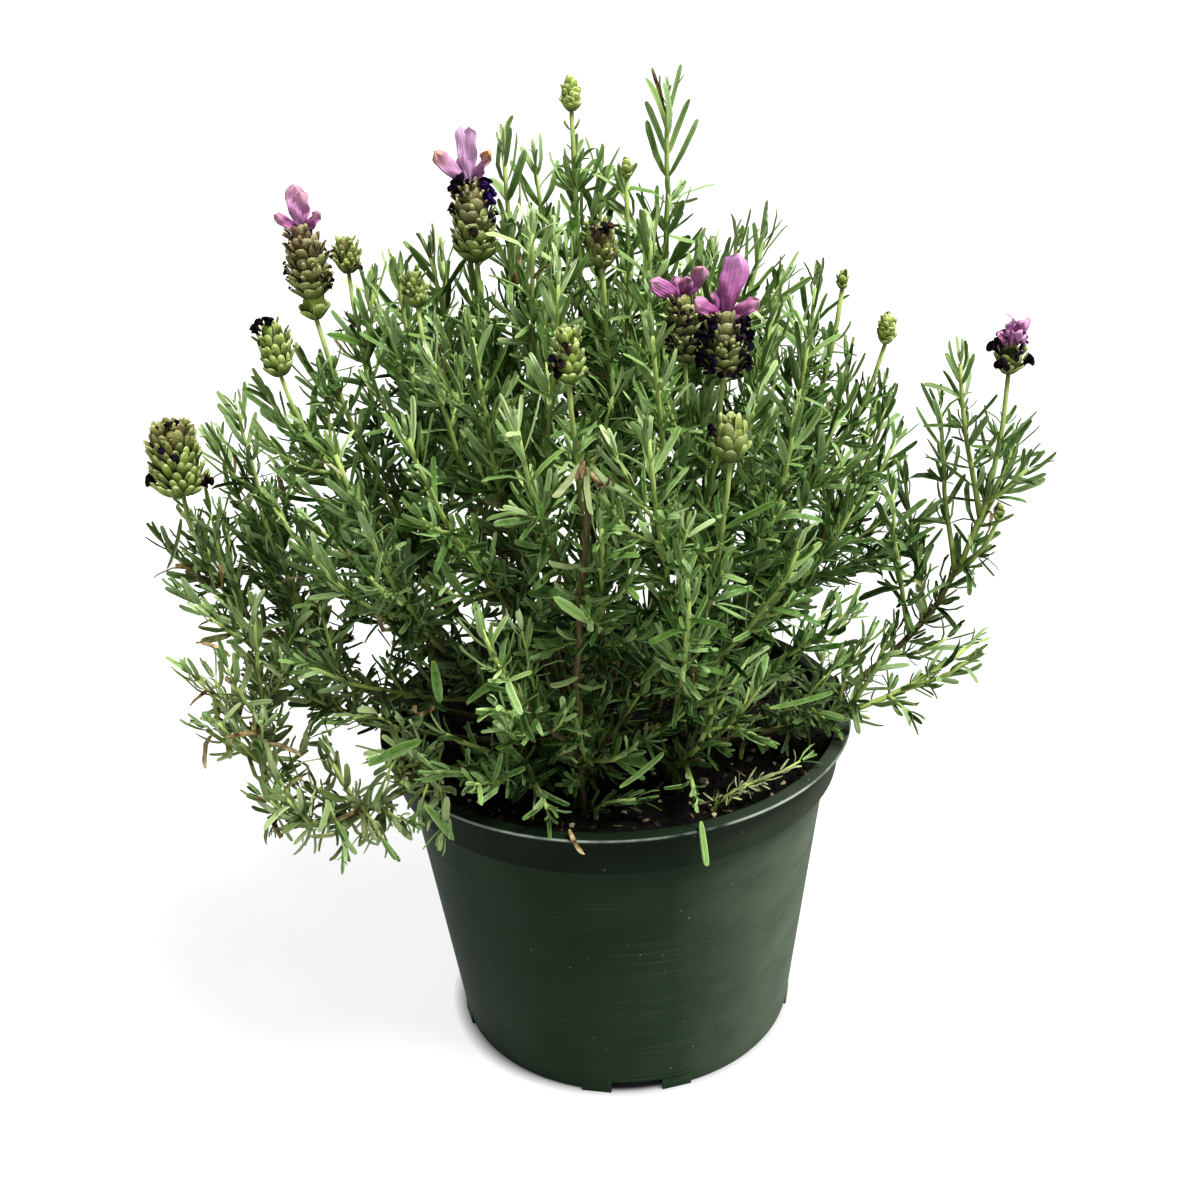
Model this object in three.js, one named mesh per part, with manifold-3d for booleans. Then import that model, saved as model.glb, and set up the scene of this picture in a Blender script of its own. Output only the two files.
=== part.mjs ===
// Potted Spanish lavender: a nursery pot filled with soil, leafy stems that stand in holes in the
// soil, and flower heads with their purple top bracts. Millimetres, +Z up, origin at the centre of
// the pot's underside, +X to the right and +Y away from the photograph's viewpoint.
import * as THREE from "three";
import { mergeVertices } from "three/addons/utils/BufferGeometryUtils.js";
import Module from "manifold-3d";

const wasm = await Module();
wasm.setup();

// Pot
const potSides = 30;
const rimRadius = 82.5;
const rimHeight = 117.7;
const rimThickness = 1.3;
const bandTopRadius = 78.6;
const bandBottomRadius = 77.8;
const bandBottomHeight = 101.5;
const wallTopRadius = 74.3;
const footRadius = 60.8;
const wallThickness = 1.5;
const floorThickness = 2;
const innerStepHeight = 2;

// Drainage slots in the foot, each between two raised blocks
const slotCount = 4;
const slotTurn = THREE.MathUtils.degToRad(-88.5);
const slotWidth = 17.5;
const slotHeight = 4.5;
const slotReach = 5;
const blockWidth = 10.5;
const blockHeight = 5;
const blockProud = 0.5;

// Soil
const soilSides = 20;
const soilEdgeHeight = 111;
const soilMound = 1.6;
const soilRoughness = 0.7;
const soilInset = 0.65;
const soilRingShares = [0.7, 0.36];
const gap = 0.3;
const stemDepth = 12;
const stemCollar = 1.5;

// Stems and leaves
const leaderRadius = { root: 1.9, tip: 1.1 };
const armRadius = { root: 1.1, tip: 1 };
const leaderSides = 5;
const armSides = 3;
const leaderSteps = 4;
const armSteps = 3;
const armBare = 0.2;
const armBows = [0, 5, -5, 10, -10, 15, -15, 20, -20];
const bendPlaces = [
  { out: 0.45, up: 0.3 },
  { out: 0.86, up: 0.62 },
];
const leafLength = 21;
const leafWidth = 2.9;
const leafThickness = 0.9;
const leafRootWidth = 1;
const leafSpacing = 70;
const leafClearance = 0.45;
const leafArch = 0.14;
const leafLean = { least: 48, most: 68 };
const topPair = { lean: { least: 24, most: 38 }, size: 0.85, arch: -0.05, behind: 4 };
const pairBelowHead = 14;
const tipLeafLength = 17;
const tipLeafMost = 0.6;
const broadestShare = 0.45;
const goldenAngle = Math.PI * (3 - Math.sqrt(5));

// Further turns and leans, in radians, that a leaf pair tries where its first place isn't clear
const leafTries = [
  [0, 0],
  [0.4, 0],
  [-0.4, 0],
  [0.8, -0.1],
  [-0.8, -0.1],
  [0.4, -0.3],
  [-0.4, 0.3],
  [1.57, 0],
  [1.2, -0.2],
];

// Flower heads and their top bracts
const headUprightness = 0.8;
const headFullness = 0.93;
const headBelly = { low: 0.85, blunt: 0.62 };
const scaleRise = 0.35;
const valleyShare = { tips: 0.7, roots: 0.35 };
const bractThickness = 0.6;
const bractWidths = [0.14, 0.34, 0.5];
const bractShoulder = 0.78;
const bractPlaces = [
  { spread: 0.12, turn: 1.5, size: 1 },
  { spread: 0.35, turn: 0.45, size: 0.92 },
  { spread: 0.85, turn: 1.02, size: 0.8 },
  { spread: 0.8, turn: 1.97, size: 0.8 },
];

const colours = {
  pot: "#26352c",
  soil: "#2b2119",
  leaf: "#73914f",
  leafDark: "#5c7a4e",
  head: "#8b9760",
  headDark: "#3c3040",
  bract: "#b382bd",
};
const roughness = { pot: 0.45, soil: 1, leaf: 0.75, head: 0.8, bract: 0.7 };

// Flower heads: length, width, columns and rows of scales, how far the scales stand out, and bracts
const headKinds = {
  open: { length: 25, width: 15, columns: 8, rows: 5, relief: 0.15, colour: colours.head, bracts: 17 },
  slim: { length: 20, width: 11.5, columns: 8, rows: 4, relief: 0.16, colour: colours.headDark, bracts: 12 },
  tall: { length: 29, width: 14, columns: 8, rows: 6, relief: 0.14, colour: colours.head, bracts: 13 },
  short: { length: 19, width: 15, columns: 8, rows: 4, relief: 0.15, colour: colours.head, bracts: 16.5 },
  dark: { length: 10.5, width: 11, columns: 8, rows: 2, relief: 0.25, colour: colours.headDark, bracts: 9.5 },
  spent: { length: 26, width: 18, columns: 10, rows: 4, relief: 0.14, colour: colours.head, bracts: 0 },
  green: { length: 16.5, width: 13, columns: 8, rows: 3, relief: 0.16, colour: colours.head, bracts: 0 },
  bud: { length: 10.5, width: 7, columns: 6, rows: 3, relief: 0.16, colour: colours.head, bracts: 0 },
  tiny: { length: 6.5, width: 4.6, columns: 6, rows: 2, relief: 0.16, colour: colours.head, bracts: 0 },
};

// An arm leaves its stem at a share of the leader's length and ends at a tip, where it may hold a head.
const arm = (from, tip, options = {}) => ({ from, tip, ...options });
const leader = (tip, options = {}) => arm(0, tip, options);

// Leafy stems. Each has its hole in the soil, a leader, and arms; `through` bends a stem by two points.
const stems = [
  {
    name: "centre_back",
    root: [-4, 15],
    bare: 0.45,
    arms: [
      leader([-5, 10, 321], { head: "bud" }),
      arm(0.5, [4, 36, 308]),
      arm(0.42, [-18, 31, 312]),
      arm(0.35, [22, 44, 290]),
    ],
  },
  {
    name: "tall_right",
    root: [11, 11],
    bare: 0.45,
    arms: [leader([25, 15, 331]), arm(0.5, [46, -4, 289]), arm(0.42, [57, 21, 286]), arm(0.3, [40, 40, 272])],
  },
  {
    name: "centre_left",
    root: [-14, 4],
    bare: 0.4,
    arms: [
      leader([-36, -10, 281], { head: "open" }),
      arm(0.45, [-26, 1, 320]),
      arm(0.4, [-18, -28, 302]),
      arm(0.32, [-52, 2, 290]),
    ],
  },
  {
    name: "centre_front",
    root: [2, 1],
    bare: 0.35,
    arms: [
      leader([11, 4, 301], { head: "tiny" }),
      arm(0.4, [2, -34, 283], { head: "green" }),
      arm(0.5, [17, -27, 298]),
    ],
  },
  {
    name: "front_left_high",
    root: [-13, -15],
    bare: 0.3,
    arms: [
      leader([-37, -50, 278]),
      arm(0.45, [-10, -59, 294]),
      arm(0.35, [-53, -31, 273], { head: "green" }),
      arm(0.3, [-56, -74, 256]),
    ],
  },
  {
    name: "front_mid",
    root: [-1, -18],
    bare: 0.3,
    arms: [leader([-9, -71, 260], { head: "green" }), arm(0.4, [-24, -90, 262]), arm(0.3, [-2, -100, 236])],
  },
  {
    name: "front_right",
    root: [9, -12],
    bare: 0.3,
    arms: [
      leader([35, -55, 255], { head: "short" }),
      arm(0.5, [25, -39, 255], { head: "slim" }),
      arm(0.45, [14, -70, 281]),
      arm(0.35, [52, -36, 276]),
    ],
  },
  {
    name: "front_right_low",
    root: [12, -26],
    bare: 0.3,
    arms: [
      leader([34, -85, 240], { head: "green" }),
      arm(0.4, [11, -95, 260]),
      arm(0.35, [55, -86, 221]),
      arm(0.25, [21, -104, 215]),
    ],
  },
  {
    name: "right_front",
    root: [21, -12],
    bare: 0.3,
    arms: [
      leader([56, -60, 253]),
      arm(0.4, [74, -33, 250]),
      arm(0.3, [77, -51, 221]),
      arm(0.2, [74, -66, 190]),
    ],
  },
  {
    name: "right_high",
    root: [22, 2],
    bare: 0.35,
    arms: [
      leader([79, 10, 262], { head: "tiny" }),
      arm(0.6, [72, 18, 271]),
      arm(0.45, [93, 8, 244], { head: "bud" }),
      arm(0.35, [66, -12, 262]),
    ],
  },
  {
    name: "right_back",
    root: [20, 17],
    bare: 0.35,
    arms: [
      leader([106, 34, 211]),
      arm(0.45, [101, 46, 226]),
      arm(0.3, [64, 52, 262]),
      arm(0.5, [97, 16, 228]),
    ],
  },
  {
    name: "right_branch",
    root: [32, -6],
    bare: 0.4,
    arms: [
      leader([133, 5, 233], { head: "dark", through: [[72, -12, 116], [130, -3, 138]] }),
      arm(0.72, [114, -5, 250]),
      arm(0.6, [114, 20, 227]),
      arm(0.75, [143, -6, 212]),
      arm(0.68, [142, 16, 214]),
      arm(0.6, [127, -16, 190], { head: "tiny" }),
      arm(0.45, [91, -20, 212]),
      arm(0.5, [105, 31, 200]),
    ],
  },
  {
    name: "right_low",
    root: [30, -20],
    bare: 0.4,
    arms: [
      leader([128, -12, 151], { through: [[62, -26, 124], [100, -28, 128]] }),
      arm(0.65, [119, -40, 158]),
      arm(0.6, [101, -42, 129]),
      arm(0.45, [88, -44, 170]),
    ],
  },
  {
    name: "left_high",
    root: [-24, -3],
    bare: 0.4,
    arms: [
      leader([-85, -20, 268], { head: "tall" }),
      arm(0.55, [-78, 9, 275], { head: "green" }),
      arm(0.45, [-96, -30, 254], { head: "green" }),
      arm(0.4, [-60, -8, 285]),
      arm(0.5, [-108, -8, 250]),
    ],
  },
  {
    name: "left_back",
    root: [-19, 17],
    bare: 0.5,
    arms: [leader([-69, 50, 274]), arm(0.5, [-50, 31, 282]), arm(0.45, [-75, 27, 274])],
  },
  {
    name: "left_branch",
    root: [-35, 3],
    bare: 0.4,
    arms: [
      leader([-139, 0, 207], { head: "spent", through: [[-80, 2, 120], [-140, 0, 150]] }),
      arm(0.7, [-154, 7, 196]),
      arm(0.6, [-146, -12, 185]),
      arm(0.5, [-133, 34, 222]),
      arm(0.45, [-122, 18, 238]),
      arm(0.4, [-112, -14, 214]),
    ],
  },
  {
    name: "left_mid",
    root: [-28, -15],
    bare: 0.3,
    arms: [
      leader([-80, -55, 246]),
      arm(0.4, [-92, -56, 214]),
      arm(0.35, [-70, -80, 238]),
      arm(0.3, [-104, -42, 226]),
      arm(0.2, [-98, -66, 180]),
    ],
  },
  {
    name: "left_trailing",
    root: [-34, -27],
    bare: 0.35,
    arms: [
      leader([-120, -28, 134], { through: [[-58, -62, 152], [-110, -84, 84]] }),
      arm(0.95, [-136, -18, 157]),
      arm(0.9, [-143, -26, 140]),
      arm(0.85, [-114, -30, 186]),
      arm(0.75, [-113, -58, 108]),
      arm(0.55, [-86, -82, 110]),
      arm(0.5, [-92, -62, 150]),
      arm(0.35, [-70, -72, 140]),
    ],
  },
  {
    name: "left_low",
    root: [-40, -11],
    bare: 0.35,
    arms: [
      leader([-126, -14, 178], { through: [[-76, -20, 124], [-120, -18, 134]] }),
      arm(0.5, [-104, -36, 158]),
      arm(0.45, [-98, -12, 182]),
    ],
  },
  {
    name: "back_left",
    root: [-13, 29],
    bare: 0.5,
    arms: [leader([-42, 84, 256]), arm(0.4, [-14, 76, 282]), arm(0.35, [-78, 78, 232])],
  },
  {
    name: "back_mid",
    root: [2, 31],
    bare: 0.4,
    arms: [leader([12, 92, 266]), arm(0.4, [38, 76, 270]), arm(0.3, [-8, 108, 226])],
  },
  {
    name: "back_right",
    root: [17, 31],
    bare: 0.4,
    arms: [leader([62, 82, 240]), arm(0.35, [90, 68, 216]), arm(0.3, [44, 106, 204])],
  },
  {
    name: "back_low_left",
    root: [-27, 25],
    bare: 0.45,
    arms: [leader([-104, 62, 204]), arm(0.4, [-76, 100, 184]), arm(0.5, [-126, 40, 186])],
  },
  {
    name: "back_low_right",
    root: [31, 25],
    bare: 0.4,
    arms: [leader([104, 74, 182]), arm(0.4, [70, 104, 172]), arm(0.45, [122, 42, 176])],
  },
  {
    name: "front_low_left",
    root: [-24, -34],
    bare: 0.25,
    arms: [leader([-35, -72, 155]), arm(0.5, [-60, -60, 152]), arm(0.4, [-20, -86, 126])],
  },
  {
    name: "front_low_mid",
    root: [-8, -36],
    bare: 0.25,
    arms: [leader([-12, -72, 158]), arm(0.4, [6, -78, 150]), arm(0.5, [-38, -100, 208])],
  },
  {
    name: "front_low_right",
    root: [16, -36],
    bare: 0.25,
    arms: [leader([29, -66, 152]), arm(0.4, [48, -64, 168]), arm(0.35, [24, -80, 126])],
  },
  {
    name: "lying_shoot",
    root: [-8, -58],
    bare: 0.2,
    leafShare: 0.6,
    arms: [leader([15, -65, 122], { through: [[-7, -63, 121], [4, -65, 121]] })],
  },
  {
    name: "rim_sprig",
    root: [30, -58],
    bare: 0.15,
    leafShare: 0.5,
    arms: [leader([66, -42, 124], { through: [[34, -62, 124], [52, -58, 121]] })],
  },
];

// A repeatable number from 0 to 1 for two whole numbers.
function noise(i, j) {
  const wave = Math.sin(i * 12.9898 + j * 78.233) * 43758.5453;
  return wave - Math.floor(wave);
}

// ---- Solids ------------------------------------------------------------------------------------

// A geometry whose shared corners are merged, so that it is one closed mesh.
function closed(geometry) {
  geometry.deleteAttribute("normal");
  geometry.deleteAttribute("uv");
  return mergeVertices(geometry, 1e-4);
}

// Moves every corner of a closed geometry to where `place` puts it.
function reshape(geometry, place) {
  const corners = geometry.attributes.position;
  const corner = new THREE.Vector3();
  for (let i = 0; i < corners.count; i += 1) {
    place(corner.fromBufferAttribute(corners, i));
    corners.setXYZ(i, corner.x, corner.y, corner.z);
  }
  return geometry;
}

function solidOf(geometry) {
  const mesh = new wasm.Mesh({
    numProp: 3,
    vertProperties: geometry.attributes.position.array,
    triVerts: new Uint32Array(geometry.index.array),
  });
  return new wasm.Manifold(mesh);
}

// The largest body of a solid as a geometry: loose scraps and sealed hollows are left out.
function geometryOf(solid) {
  const bodies = solid.decompose();
  const volumes = bodies.map((body) => body.volume());
  const { vertProperties, triVerts } = bodies[volumes.indexOf(Math.max(...volumes))].getMesh();
  const geometry = new THREE.BufferGeometry();
  geometry.setAttribute("position", new THREE.BufferAttribute(vertProperties, 3));
  geometry.setIndex(new THREE.BufferAttribute(triVerts, 1));
  return geometry;
}

function meshOf(name, geometry, color, rough) {
  geometry.computeVertexNormals();
  const material = new THREE.MeshStandardMaterial({ color, roughness: rough, metalness: 0 });
  material.flatShading = true;
  const mesh = new THREE.Mesh(geometry, material);
  mesh.name = name;
  return mesh;
}

// A solid turned about Z from an outline of [radius, height] points that starts and ends on the axis.
function turned(outline, sides) {
  const points = outline.map(([radius, height]) => new THREE.Vector2(radius, height));
  return closed(new THREE.LatheGeometry(points, sides).rotateX(Math.PI / 2));
}

function box(width, depth, height, x, y, z) {
  return closed(new THREE.BoxGeometry(width, depth, height).translate(x, y, z));
}

// ---- Pot ---------------------------------------------------------------------------------------

function potOutline() {
  const innerWallTop = bandBottomHeight + wallThickness;
  return [
    [0, 0],
    [footRadius, 0],
    [wallTopRadius, bandBottomHeight],
    [bandBottomRadius, bandBottomHeight],
    [bandTopRadius, rimHeight - rimThickness],
    [rimRadius, rimHeight - rimThickness],
    [rimRadius, rimHeight],
    [bandTopRadius - wallThickness, rimHeight],
    [bandBottomRadius - wallThickness, innerWallTop + innerStepHeight],
    [wallTopRadius - wallThickness, innerWallTop],
    [footRadius - wallThickness, floorThickness],
    [0, floorThickness],
  ];
}

// The two raised blocks beside a slot, each square to the wall where it stands.
function footBlocks(turn) {
  const inner = footRadius - wallThickness;
  const depth = wallThickness + blockProud;
  const aside = Math.asin((slotWidth + blockWidth) / 2 / footRadius);
  return [turn - aside, turn + aside].map((blockTurn) => {
    const block = box(depth, blockWidth, blockHeight, inner + depth / 2, 0, blockHeight / 2);
    return solidOf(block.rotateZ(blockTurn));
  });
}

// The slot's cutter, lying across +X and then turned to its place.
function slotCutter(turn) {
  const depth = slotReach + 4 * blockProud;
  const middle = footRadius - slotReach + depth / 2;
  return solidOf(box(depth, slotWidth, 2 * slotHeight, middle, 0, 0).rotateZ(turn));
}

function buildPot() {
  const turns = Array.from({ length: slotCount }, (_, i) => slotTurn + (i * 2 * Math.PI) / slotCount);
  const inside = solidOf(turned(soilSpace(0), potSides));
  let pot = solidOf(turned(potOutline(), potSides));
  for (const turn of turns) {
    for (const block of footBlocks(turn)) {
      pot = pot.add(block);
    }
  }
  pot = pot.subtract(inside);
  for (const turn of turns) {
    pot = pot.subtract(slotCutter(turn));
  }
  return meshOf("pot", geometryOf(pot), colours.pot, roughness.pot);
}

// ---- Soil --------------------------------------------------------------------------------------

// The outline of the room inside the pot, drawn in by `inset`.
function soilSpace(inset) {
  const stepFoot = bandBottomHeight + wallThickness;
  return [
    [0, floorThickness + inset],
    [footRadius - wallThickness - inset, floorThickness + inset],
    [wallTopRadius - wallThickness - inset, stepFoot + inset / 2],
    [bandBottomRadius - wallThickness - inset, stepFoot + innerStepHeight + inset / 2],
    [bandBottomRadius - wallThickness - inset, soilEdgeHeight],
    [0, soilEdgeHeight],
  ];
}

function soilHeight(x, y) {
  const share = Math.hypot(x, y) / bandBottomRadius;
  return soilEdgeHeight + soilMound * (1 - share * share);
}

function buildSoil() {
  const outline = soilSpace(soilInset);
  const middle = outline.pop();
  const [edge] = outline[outline.length - 1];
  soilRingShares.forEach((share) => outline.push([edge * share, soilEdgeHeight]));
  outline.push(middle);
  const clods = reshape(turned(outline, soilSides), (corner) => {
    if (corner.z === soilEdgeHeight) {
      const lump = noise(Math.round(corner.x), Math.round(corner.y)) - 0.5;
      corner.z = soilHeight(corner.x, corner.y) + lump * soilRoughness;
    }
  });
  let soil = solidOf(clods);
  const holeRadius = (leaderRadius.root + gap) / Math.cos(Math.PI / leaderSides);
  for (const { root } of stems) {
    const length = 2 * (stemDepth + gap);
    const hole = new THREE.CylinderGeometry(holeRadius, holeRadius, length, leaderSides).rotateX(Math.PI / 2);
    soil = soil.subtract(solidOf(closed(hole.translate(root[0], root[1], soilHeight(...root)))));
  }
  return meshOf("soil", geometryOf(soil), colours.soil, roughness.soil);
}

// ---- Stems -------------------------------------------------------------------------------------

// What is already placed, as straight rods that later pieces keep clear of.
const rods = [];

function addRods(node, points, radius) {
  for (let i = 1; i < points.length; i += 1) {
    rods.push({ node, line: new THREE.Line3(points[i - 1], points[i]), radius });
  }
}

// Whether points along a new rod stay clear of the rods that `counts` picks.
function isClear(points, radius, counts) {
  const near = new THREE.Vector3();
  return rods.every(
    (rod) =>
      !counts(rod) ||
      points.every((point) => {
        rod.line.closestPointToPoint(point, true, near);
        return near.distanceTo(point) > rod.radius + radius;
      }),
  );
}

// A path that leaves `start` outwards and turns up to `tip`, bowed sideways by `bow`.
function curveTo(start, tip, through, bow) {
  const flat = new THREE.Vector3(tip.x - start.x, tip.y - start.y, 0);
  const rise = tip.z - start.z;
  const side = new THREE.Vector3(-flat.y, flat.x, 0).normalize().multiplyScalar(bow);
  const usual = ({ out, up }) => new THREE.Vector3(0, 0, up * rise).addScaledVector(flat, out).add(start);
  const bends = through ? through.map((point) => new THREE.Vector3(...point)) : bendPlaces.map(usual);
  return new THREE.CubicBezierCurve3(start, bends[0].add(side), bends[1].add(side), tip);
}

// The rings of a stem: their centres and the two directions across each.
function ringsOf(points) {
  const first = points[0];
  const last = points[points.length - 1];
  const across = new THREE.Vector3(first.y - last.y, last.x - first.x, 0);
  if (across.length() < 1) {
    across.set(1, 0, 0);
  }
  return points.map((centre, i) => {
    const ahead = points[Math.min(i + 1, points.length - 1)];
    const behind = points[Math.max(i - 1, 0)];
    const along = ahead.clone().sub(behind).normalize();
    const right = across.clone().addScaledVector(along, -across.dot(along)).normalize();
    return { centre, along, right, front: along.clone().cross(right) };
  });
}

// A tapered rod along its rings. Where it ends in a leaf, its last ring is the leaf's broadest part
// and the middle of its end is drawn out to the leaf's point.
function tube({ points, end, radius, sides }) {
  const steps = points.length - 1;
  const rings = ringsOf(points);
  const rod = closed(new THREE.CylinderGeometry(1, 1, 1, sides, steps));
  return reshape(rod, (corner) => {
    const share = corner.y + 0.5;
    const index = Math.round(share * steps);
    const ring = rings[index];
    const { x, z } = corner;
    if (end && index === steps) {
      const isPoint = Math.hypot(x, z) < 0.5;
      corner.copy(isPoint ? end : ring.centre);
      corner.addScaledVector(ring.right, (-x * leafWidth) / 2);
      corner.addScaledVector(ring.front, (z * leafThickness) / 2);
      return;
    }
    const size = THREE.MathUtils.lerp(radius.root, radius.tip, share);
    corner.copy(ring.centre).addScaledVector(ring.right, -x * size).addScaledVector(ring.front, z * size);
  });
}

// Where the rings of an arm lie, as shares of its length.
function ringShares(length, steps, hasLeaf) {
  const even = Array.from({ length: steps + 1 }, (_, i) => i / steps);
  if (!hasLeaf) {
    return even;
  }
  const leaf = Math.min(tipLeafLength / length, tipLeafMost);
  const stem = even.slice(0, steps).map((share) => (share * steps * (1 - leaf)) / (steps - 1));
  return [...stem, 1 - leaf * (1 - broadestShare)];
}

// One arm's rings, with the bow that keeps it clear of the other stems.
function armRings(stem, part, start, isLeader) {
  const radius = isLeader ? leaderRadius.root : armRadius.root;
  const others = (rod) => rod.node !== stem.name;
  const tip = new THREE.Vector3(...part.tip);
  for (const bow of armBows) {
    const curve = curveTo(start, tip, part.through, bow);
    if (isClear(curve.getSpacedPoints(24), radius + gap, others)) {
      const steps = isLeader ? leaderSteps : armSteps;
      return ringShares(curve.getLength(), steps, !part.head).map((share) => curve.getPointAt(share));
    }
  }
  throw new Error(`${stem.name}: the arm to ${part.tip} crosses another stem`);
}

function pathThrough(points) {
  const path = new THREE.CurvePath();
  points.slice(1).forEach((point, i) => path.add(new THREE.LineCurve3(points[i], point)));
  return path;
}

// A stem's skeleton: its arms in order, each with its rings, and the head that an arm carries.
function growStem(stem) {
  const [x, y] = stem.root;
  const collar = new THREE.Vector3(x, y, soilHeight(x, y) + stemCollar);
  const buried = new THREE.Vector3(x, y, collar.z - stemCollar - stemDepth);
  let trunk;
  return stem.arms.map((part, index) => {
    const isLeader = index === 0;
    const start = isLeader ? collar : trunk.getPointAt(part.from);
    const rings = armRings(stem, part, start, isLeader);
    trunk = trunk ?? pathThrough(rings);
    const points = isLeader ? [buried, ...rings] : rings;
    const end = part.head ? undefined : new THREE.Vector3(...part.tip);
    const radius = isLeader ? leaderRadius : armRadius;
    addRods(stem.name, end ? [...points, end] : points, (radius.root + radius.tip) / 2);
    if (part.head) {
      placeHead(stem, part, rings, index);
    }
    return { points, end, rings, radius, sides: isLeader ? leaderSides : armSides, isLeader };
  });
}

// ---- Leaves ------------------------------------------------------------------------------------

// A pair of opposite leaves as one narrow blade with two edges and a keel, bent where it crosses
// its stem and pointed at both ends.
function leafPair({ centre, along, out, lean, length, arch }) {
  const side = along.clone().cross(out);
  const ball = closed(new THREE.SphereGeometry(1, 3, 4));
  return reshape(ball, (corner) => {
    const place = 1 - (2 * Math.acos(THREE.MathUtils.clamp(corner.y, -1, 1))) / Math.PI;
    const share = Math.abs(place);
    const reach = Math.hypot(corner.x, corner.z);
    const isPoint = share > 0.9;
    const across = isPoint ? 0 : corner.z / reach / Math.sin(Math.PI / 3);
    const keel = isPoint ? 0 : Math.max(-corner.x / reach, 0);
    const isRoot = share < 0.1;
    const wide = isRoot ? leafRootWidth : leafWidth;
    const { forward, upward } = leafAxes(along, out, lean, Math.sign(place));
    const down = isRoot ? along : upward;
    corner.copy(leafPoint(centre, forward, upward, length, arch, share));
    corner.addScaledVector(side, (across * wide) / 2);
    corner.addScaledVector(down, leafThickness * (0.3 - keel));
  });
}

// The directions along and up from one leaf of a pair, on the side of its stem that `sign` picks.
function leafAxes(along, out, lean, sign) {
  const forward = out.clone().multiplyScalar(Math.sin(lean) * sign).addScaledVector(along, Math.cos(lean));
  const upward = along.clone().multiplyScalar(Math.sin(lean)).addScaledVector(out, -Math.cos(lean) * sign);
  return { forward, upward };
}

function leafPoint(centre, forward, upward, length, arch, share) {
  return centre
    .clone()
    .addScaledVector(forward, length * share)
    .addScaledVector(upward, arch * length * share * share);
}

// The middle lines of both leaves of a pair, from just outside their stem to their points.
function pairLines({ centre, along, out, lean, length, arch }) {
  const shares = [0.15, 0.35, 0.55, 0.75, 1];
  return [-1, 1].map((sign) => {
    const { forward, upward } = leafAxes(along, out, lean, sign);
    return shares.map((share) => leafPoint(centre, forward, upward, length, arch, share));
  });
}

// The leaf pairs of one arm, crossed by turns, from near its end down to its bare part.
function pairPlaces(part, { bare, leafShare = 1 }, seed) {
  const leafGap = leafSpacing * leafShare;
  const path = pathThrough(part.rings);
  const length = path.getLength();
  const first = part.end ? tipLeafLength * broadestShare + topPair.behind : pairBelowHead;
  const places = [];
  for (let back = first, pair = 0; back < length * (1 - bare); back += leafGap, pair += 1) {
    const share = 1 - back / length;
    const isTop = pair === 0 && part.end;
    const { least, most } = isTop ? topPair.lean : leafLean;
    places.push({
      centre: path.getPointAt(share),
      along: path.getTangentAt(share),
      turn: pair * (Math.PI / 2) + seed * goldenAngle,
      lean: THREE.MathUtils.degToRad(THREE.MathUtils.lerp(least, most, noise(seed * 7 + pair, pair))),
      length: leafLength * leafShare * (isTop ? topPair.size : 1) * (0.84 + 0.3 * noise(seed, pair)),
      arch: isTop ? topPair.arch : leafArch * (noise(pair, seed) - 0.3),
    });
  }
  return places;
}

// A leaf pair turned and leaned until it keeps clear of everything else, or nothing where it can't.
function clearPair(node, place) {
  const across = new THREE.Vector3(0, 1, 0).cross(place.along).normalize();
  const reach = leafWidth / 2 + leafClearance;
  for (const [turn, lean] of leafTries) {
    const out = across.clone().applyAxisAngle(place.along, place.turn + turn);
    const pair = { ...place, out, lean: place.lean + lean };
    const lines = pairLines(pair);
    const isFree = lines.every(
      (line) =>
        isClear(line, reach, (rod) => rod.node !== node) &&
        isClear(line.slice(2), leafWidth / 2, (rod) => rod.node === node) &&
        line.every((point) => isOffPot(point)),
    );
    if (isFree) {
      lines.forEach((line) => addRods(node, line, leafWidth / 2));
      return leafPair(pair);
    }
  }
  return undefined;
}

// Whether a point of a leaf is clear of the soil, the pot and the rim.
function isOffPot(point) {
  const clear = leafWidth / 2 + gap;
  const radius = Math.hypot(point.x, point.y);
  const overSoil = point.z > soilEdgeHeight + soilMound + soilRoughness + clear;
  const inPot = radius < bandTopRadius - wallThickness - clear && overSoil;
  return inPot || point.z > rimHeight + clear || radius > rimRadius + clear;
}

// ---- Flower heads ------------------------------------------------------------------------------

const heads = [];

// A head sits a small gap off the end of its stalk and points the way the stalk does.
function placeHead(stem, part, rings, index) {
  const kind = headKinds[part.head];
  const end = rings[rings.length - 1];
  const along = end.clone().sub(rings[rings.length - 2]).normalize();
  along.lerp(new THREE.Vector3(0, 0, 1), headUprightness).normalize();
  const base = end.clone().addScaledVector(along, gap);
  const top = base.clone().addScaledVector(along, kind.length);
  const name = `${stem.name}_head_${index + 1}`;
  const middle = kind.width / 2;
  const foot = base.clone().addScaledVector(along, middle / 2);
  addRods(name, [foot, top.clone().addScaledVector(along, -middle)], middle);
  if (kind.bracts) {
    addRods(name, [top, top.clone().addScaledVector(along, kind.bracts)], kind.bracts * 0.45);
  }
  heads.push({ name, kind, base, along, top });
}

// Turns a geometry that stands on the origin along +Z to stand on `base` along `along`.
function stand(geometry, base, along) {
  const turn = new THREE.Quaternion().setFromUnitVectors(new THREE.Vector3(0, 0, 1), along);
  return geometry.applyQuaternion(turn).translate(base.x, base.y, base.z);
}

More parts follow.
